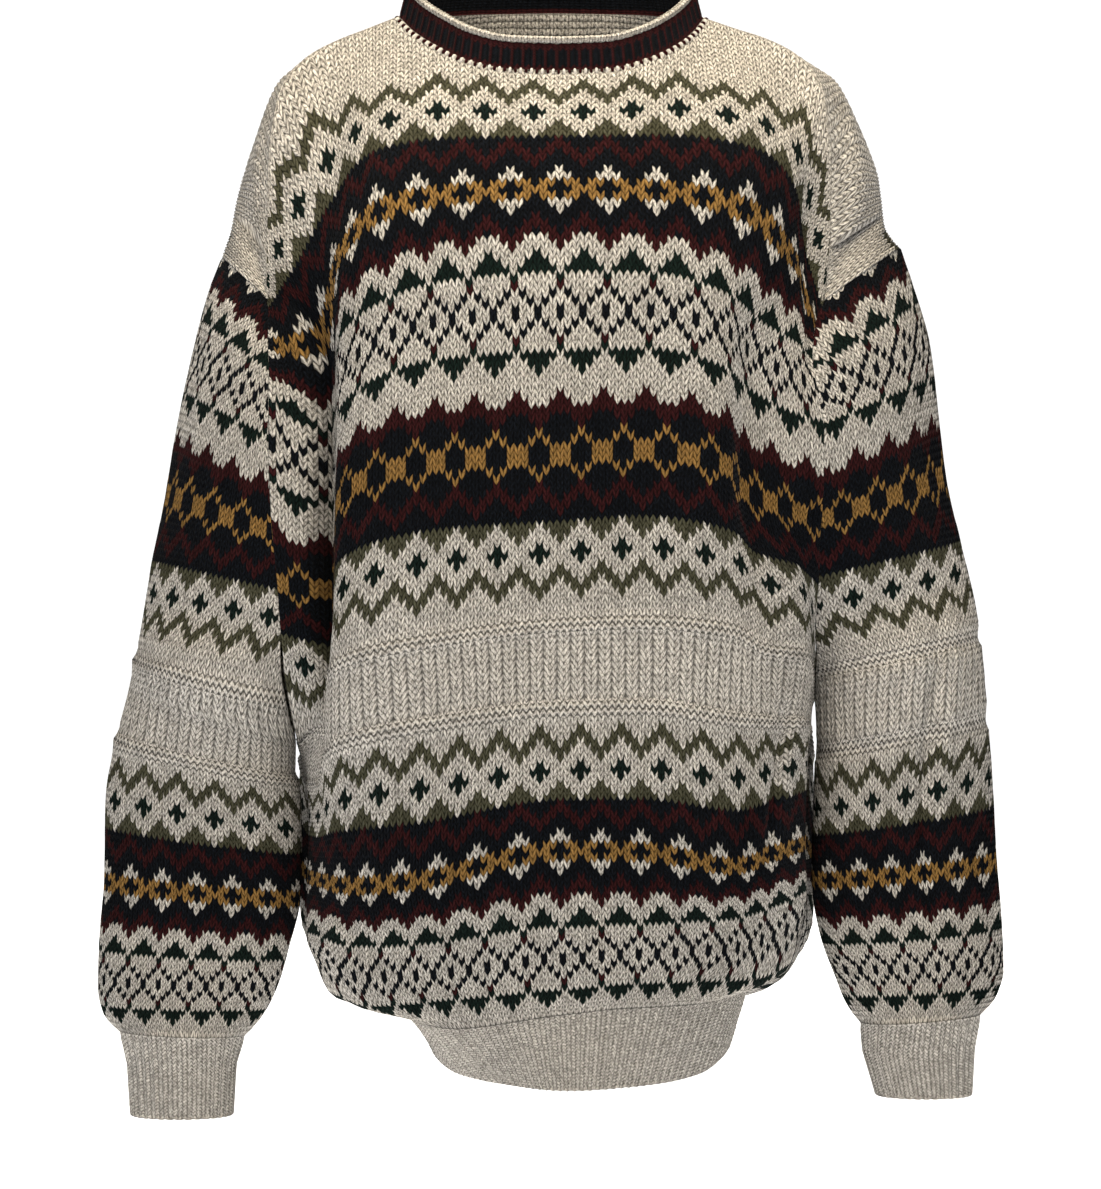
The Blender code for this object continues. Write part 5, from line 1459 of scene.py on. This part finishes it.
class JumperSettings(bpy.types.PropertyGroup):
    """Sizes and colours of the jumper that a user would change."""

    oatmeal: colour_setting("Oatmeal", "Pale ground wool", "#bfbcb8")
    oatmeal_fleck: colour_setting("Oatmeal fleck", "Brown fibre carded into the ground wool", "#625e57")
    moss: colour_setting("Moss", "Yellow-green wool of the zigzags", "#454538")
    pine: colour_setting("Pine", "Dark green wool of the crosses and diamonds", "#0b1513")
    burgundy: colour_setting("Burgundy", "Dark red wool", "#260e10")
    navy: colour_setting("Navy", "Blue-black wool", "#07090d")
    ochre: colour_setting("Ochre", "Gold wool of the blocks", "#846538")
    stitch_height: FloatProperty(name="Stitch height",
                                 description="Height of a leg of a stitch over its wall",
                                 default=0.9 * MM, min=0, max=3 * MM, unit="LENGTH")
    stitch_size: FloatProperty(name="Stitch size", description="Width of one stitch on the body",
                               default=4.7 * MM, min=1 * MM, max=20 * MM, unit="LENGTH")
    unevenness: FloatProperty(name="Unevenness", description="How much the height of the stitches varies",
                              default=1.1, min=0, max=2, subtype="FACTOR")
    picked_up: IntProperty(name="Picked up stitches", description="Stitches picked up round the neck",
                           default=160, min=10, max=300)
    yarn_radius: FloatProperty(name="Yarn radius", description="Radius of the seam stitches' yarn",
                               default=1.0 * MM, min=0.2 * MM, max=3 * MM, unit="LENGTH")
    floor_drop: FloatProperty(name="Floor drop", description="Height of the hem over the floor",
                              default=0.06, min=0.001, max=1, unit="LENGTH")
    floor_colour: colour_setting("Floor", "Pale studio floor", "#f4f3f0")


# ---------------------------------------------------------------- operators
class JUMPER_OT_body(bpy.types.Operator):
    """Knit the front and the back"""

    bl_idname = "jumper.body"
    bl_label = "Front and back"

    def execute(self, context):
        knit(context, "front")
        knit(context, "back")
        return {"FINISHED"}


class JUMPER_OT_sleeves(bpy.types.Operator):
    """Knit both sleeves"""

    bl_idname = "jumper.sleeves"
    bl_label = "Sleeves"

    def execute(self, context):
        knit(context, "sleeve_left")
        knit(context, "sleeve_right")
        return {"FINISHED"}


class JUMPER_OT_ribs(bpy.types.Operator):
    """Knit the hem ribs and the cuffs"""

    bl_idname = "jumper.ribs"
    bl_label = "Hem ribs and cuffs"

    def execute(self, context):
        knit(context, "hem_rib_front")
        knit(context, "hem_rib_back")
        knit(context, "cuff_left")
        knit(context, "cuff_right")
        return {"FINISHED"}


class JUMPER_OT_neckband(bpy.types.Operator):
    """Knit the neckband, its rolled edge and the stitches picked up at its foot"""

    bl_idname = "jumper.neckband"
    bl_label = "Neckband"

    def execute(self, context):
        settings = context.scene.jumper
        knit(context, "neckband")
        roll = made_with(shared_tree(), neck_roll_mesh(), "neck_roll_knit",
                         {"Stitch height": 0.0, "Unevenness": 0.0, "Stitch size": settings.stitch_size},
                         ("ridge", "yarn"))
        settle(roll, "neck_roll", "neck_roll")
        base, inward = neck_at(np.arange(NECK_SEAM_POINTS) / NECK_SEAM_POINTS, 0.05)
        line = base - inward * (RIB_HALF_WALL + 1.5) - np.array([0, 0, 1.0])
        yarns = shared_yarns()
        picked = made_with(picked_up_tree([yarns[YARN_LETTERS.index("b")], yarns[YARN_LETTERS.index(".")]]),
                           seam_mesh("neck_seam", line, True), "neck_picked_up",
                           {"Stitches": settings.picked_up, "Yarn radius": settings.yarn_radius,
                            "Stitch length": PICKED_UP_LENGTH * settings.yarn_radius}, ("by_turns",))
        settle(picked, "neckband")
        return {"FINISHED"}


class JUMPER_OT_stage(bpy.types.Operator):
    """Lay the floor and set the lights and the camera"""

    bl_idname = "jumper.stage"
    bl_label = "Stage"

    def execute(self, context):
        settings = context.scene.jumper
        scene = context.scene
        low = CAD_BOX[0][2] - settings.floor_drop
        mesh = bpy.data.meshes.new("floor")
        turns = [side * math.tau / FLOOR_SIDES for side in range(FLOOR_SIDES)]
        ring = [(FLOOR_RADIUS * math.cos(turn), FLOOR_RADIUS * math.sin(turn), low) for turn in turns]
        mesh.from_pydata(ring, [], [list(range(FLOOR_SIDES))])
        floor = bpy.data.objects.new("floor", mesh)
        scene.collection.objects.link(floor)
        paint = bpy.data.materials.new("Matt white studio floor, painted")
        paint.use_nodes = True
        shader = paint.node_tree.nodes["Principled BSDF"]
        shader.inputs["Base Color"].default_value = (*linear(settings.floor_colour), 1.0)
        shader.inputs["Roughness"].default_value = 0.9
        # lit as strongly as the sweep behind it, so that no horizon shows
        shader.inputs["Emission Color"].default_value = (1.0, 1.0, 1.0, 1.0)
        shader.inputs["Emission Strength"].default_value = 1.0
        mesh.materials.append(paint)
        world = bpy.data.worlds.new("Even studio light")
        world.use_nodes = True
        tree = world.node_tree
        seen = node(tree, "ShaderNodeLightPath")
        glow = node(tree, "ShaderNodeMapRange", None,
                    {"Value": seen.outputs["Is Camera Ray"], "To Min": 0.13, "To Max": 1.1})
        sky = tree.nodes["Background"]
        sky.inputs["Color"].default_value = (1.0, 1.0, 1.0, 1.0)
        tree.links.new(glow.outputs[0], sky.inputs["Strength"])
        scene.world = world
        scene.view_settings.view_transform = "Standard"
        for name, place, size, power, tint in (
                ("Key light", (0.6, -1.8, 1.3), 1.0, 6.5, (1.0, 0.98, 0.95)),
                ("Fill light", (-2.0, -2.2, 0.0), 1.8, 12.0, (0.96, 0.98, 1.0)),
                ("Top light", (0.0, -0.5, 0.62), 0.8, 19.0, (1.0, 0.86, 0.64)),
                ("Back light", (0.4, 2.4, 0.9), 1.6, 26.0, (1.0, 1.0, 1.0))):
            data = bpy.data.lights.new(name, "AREA")
            data.size = size
            data.energy = power
            data.color = tint
            light = bpy.data.objects.new(name, data)
            light.location = place
            aim = Vector((0, 0, -0.35)) - Vector(place)
            light.rotation_euler = aim.to_track_quat("-Z", "Y").to_euler()
            scene.collection.objects.link(light)
        view = bpy.data.cameras.new("camera")
        view.sensor_width = 36.0
        view.lens = 102.5
        camera = bpy.data.objects.new("camera", view)
        camera.location = (0.001, -2.2, -0.3734)
        camera.rotation_euler = (math.radians(90), 0, 0)
        scene.collection.objects.link(camera)
        scene.camera = camera
        return {"FINISHED"}


class JUMPER_PT_panel(bpy.types.Panel):
    """Pieces of the jumper in the sidebar"""

    bl_label = "Fair isle jumper"
    bl_idname = "JUMPER_PT_panel"
    bl_space_type = "VIEW_3D"
    bl_region_type = "UI"
    bl_category = "Jumper"

    def draw(self, context):
        settings = context.scene.jumper
        for name in JumperSettings.__annotations__:
            self.layout.prop(settings, name)
        for operator in OPERATORS:
            self.layout.operator(operator.bl_idname)


OPERATORS = (JUMPER_OT_body, JUMPER_OT_sleeves, JUMPER_OT_ribs, JUMPER_OT_neckband, JUMPER_OT_stage)
CLASSES = (JumperSettings, *OPERATORS, JUMPER_PT_panel)


def register():
    """Add the classes and the settings."""
    for item in CLASSES:
        bpy.utils.register_class(item)
    bpy.types.Scene.jumper = PointerProperty(type=JumperSettings)


def unregister():
    """Take the settings and the classes away."""
    del bpy.types.Scene.jumper
    for item in reversed(CLASSES):
        bpy.utils.unregister_class(item)


def main():
    """Make every piece and set the stage."""
    register()
    bpy.ops.jumper.body()
    bpy.ops.jumper.sleeves()
    bpy.ops.jumper.ribs()
    bpy.ops.jumper.neckband()
    bpy.ops.jumper.stage()


if __name__ == "__main__":
    main()
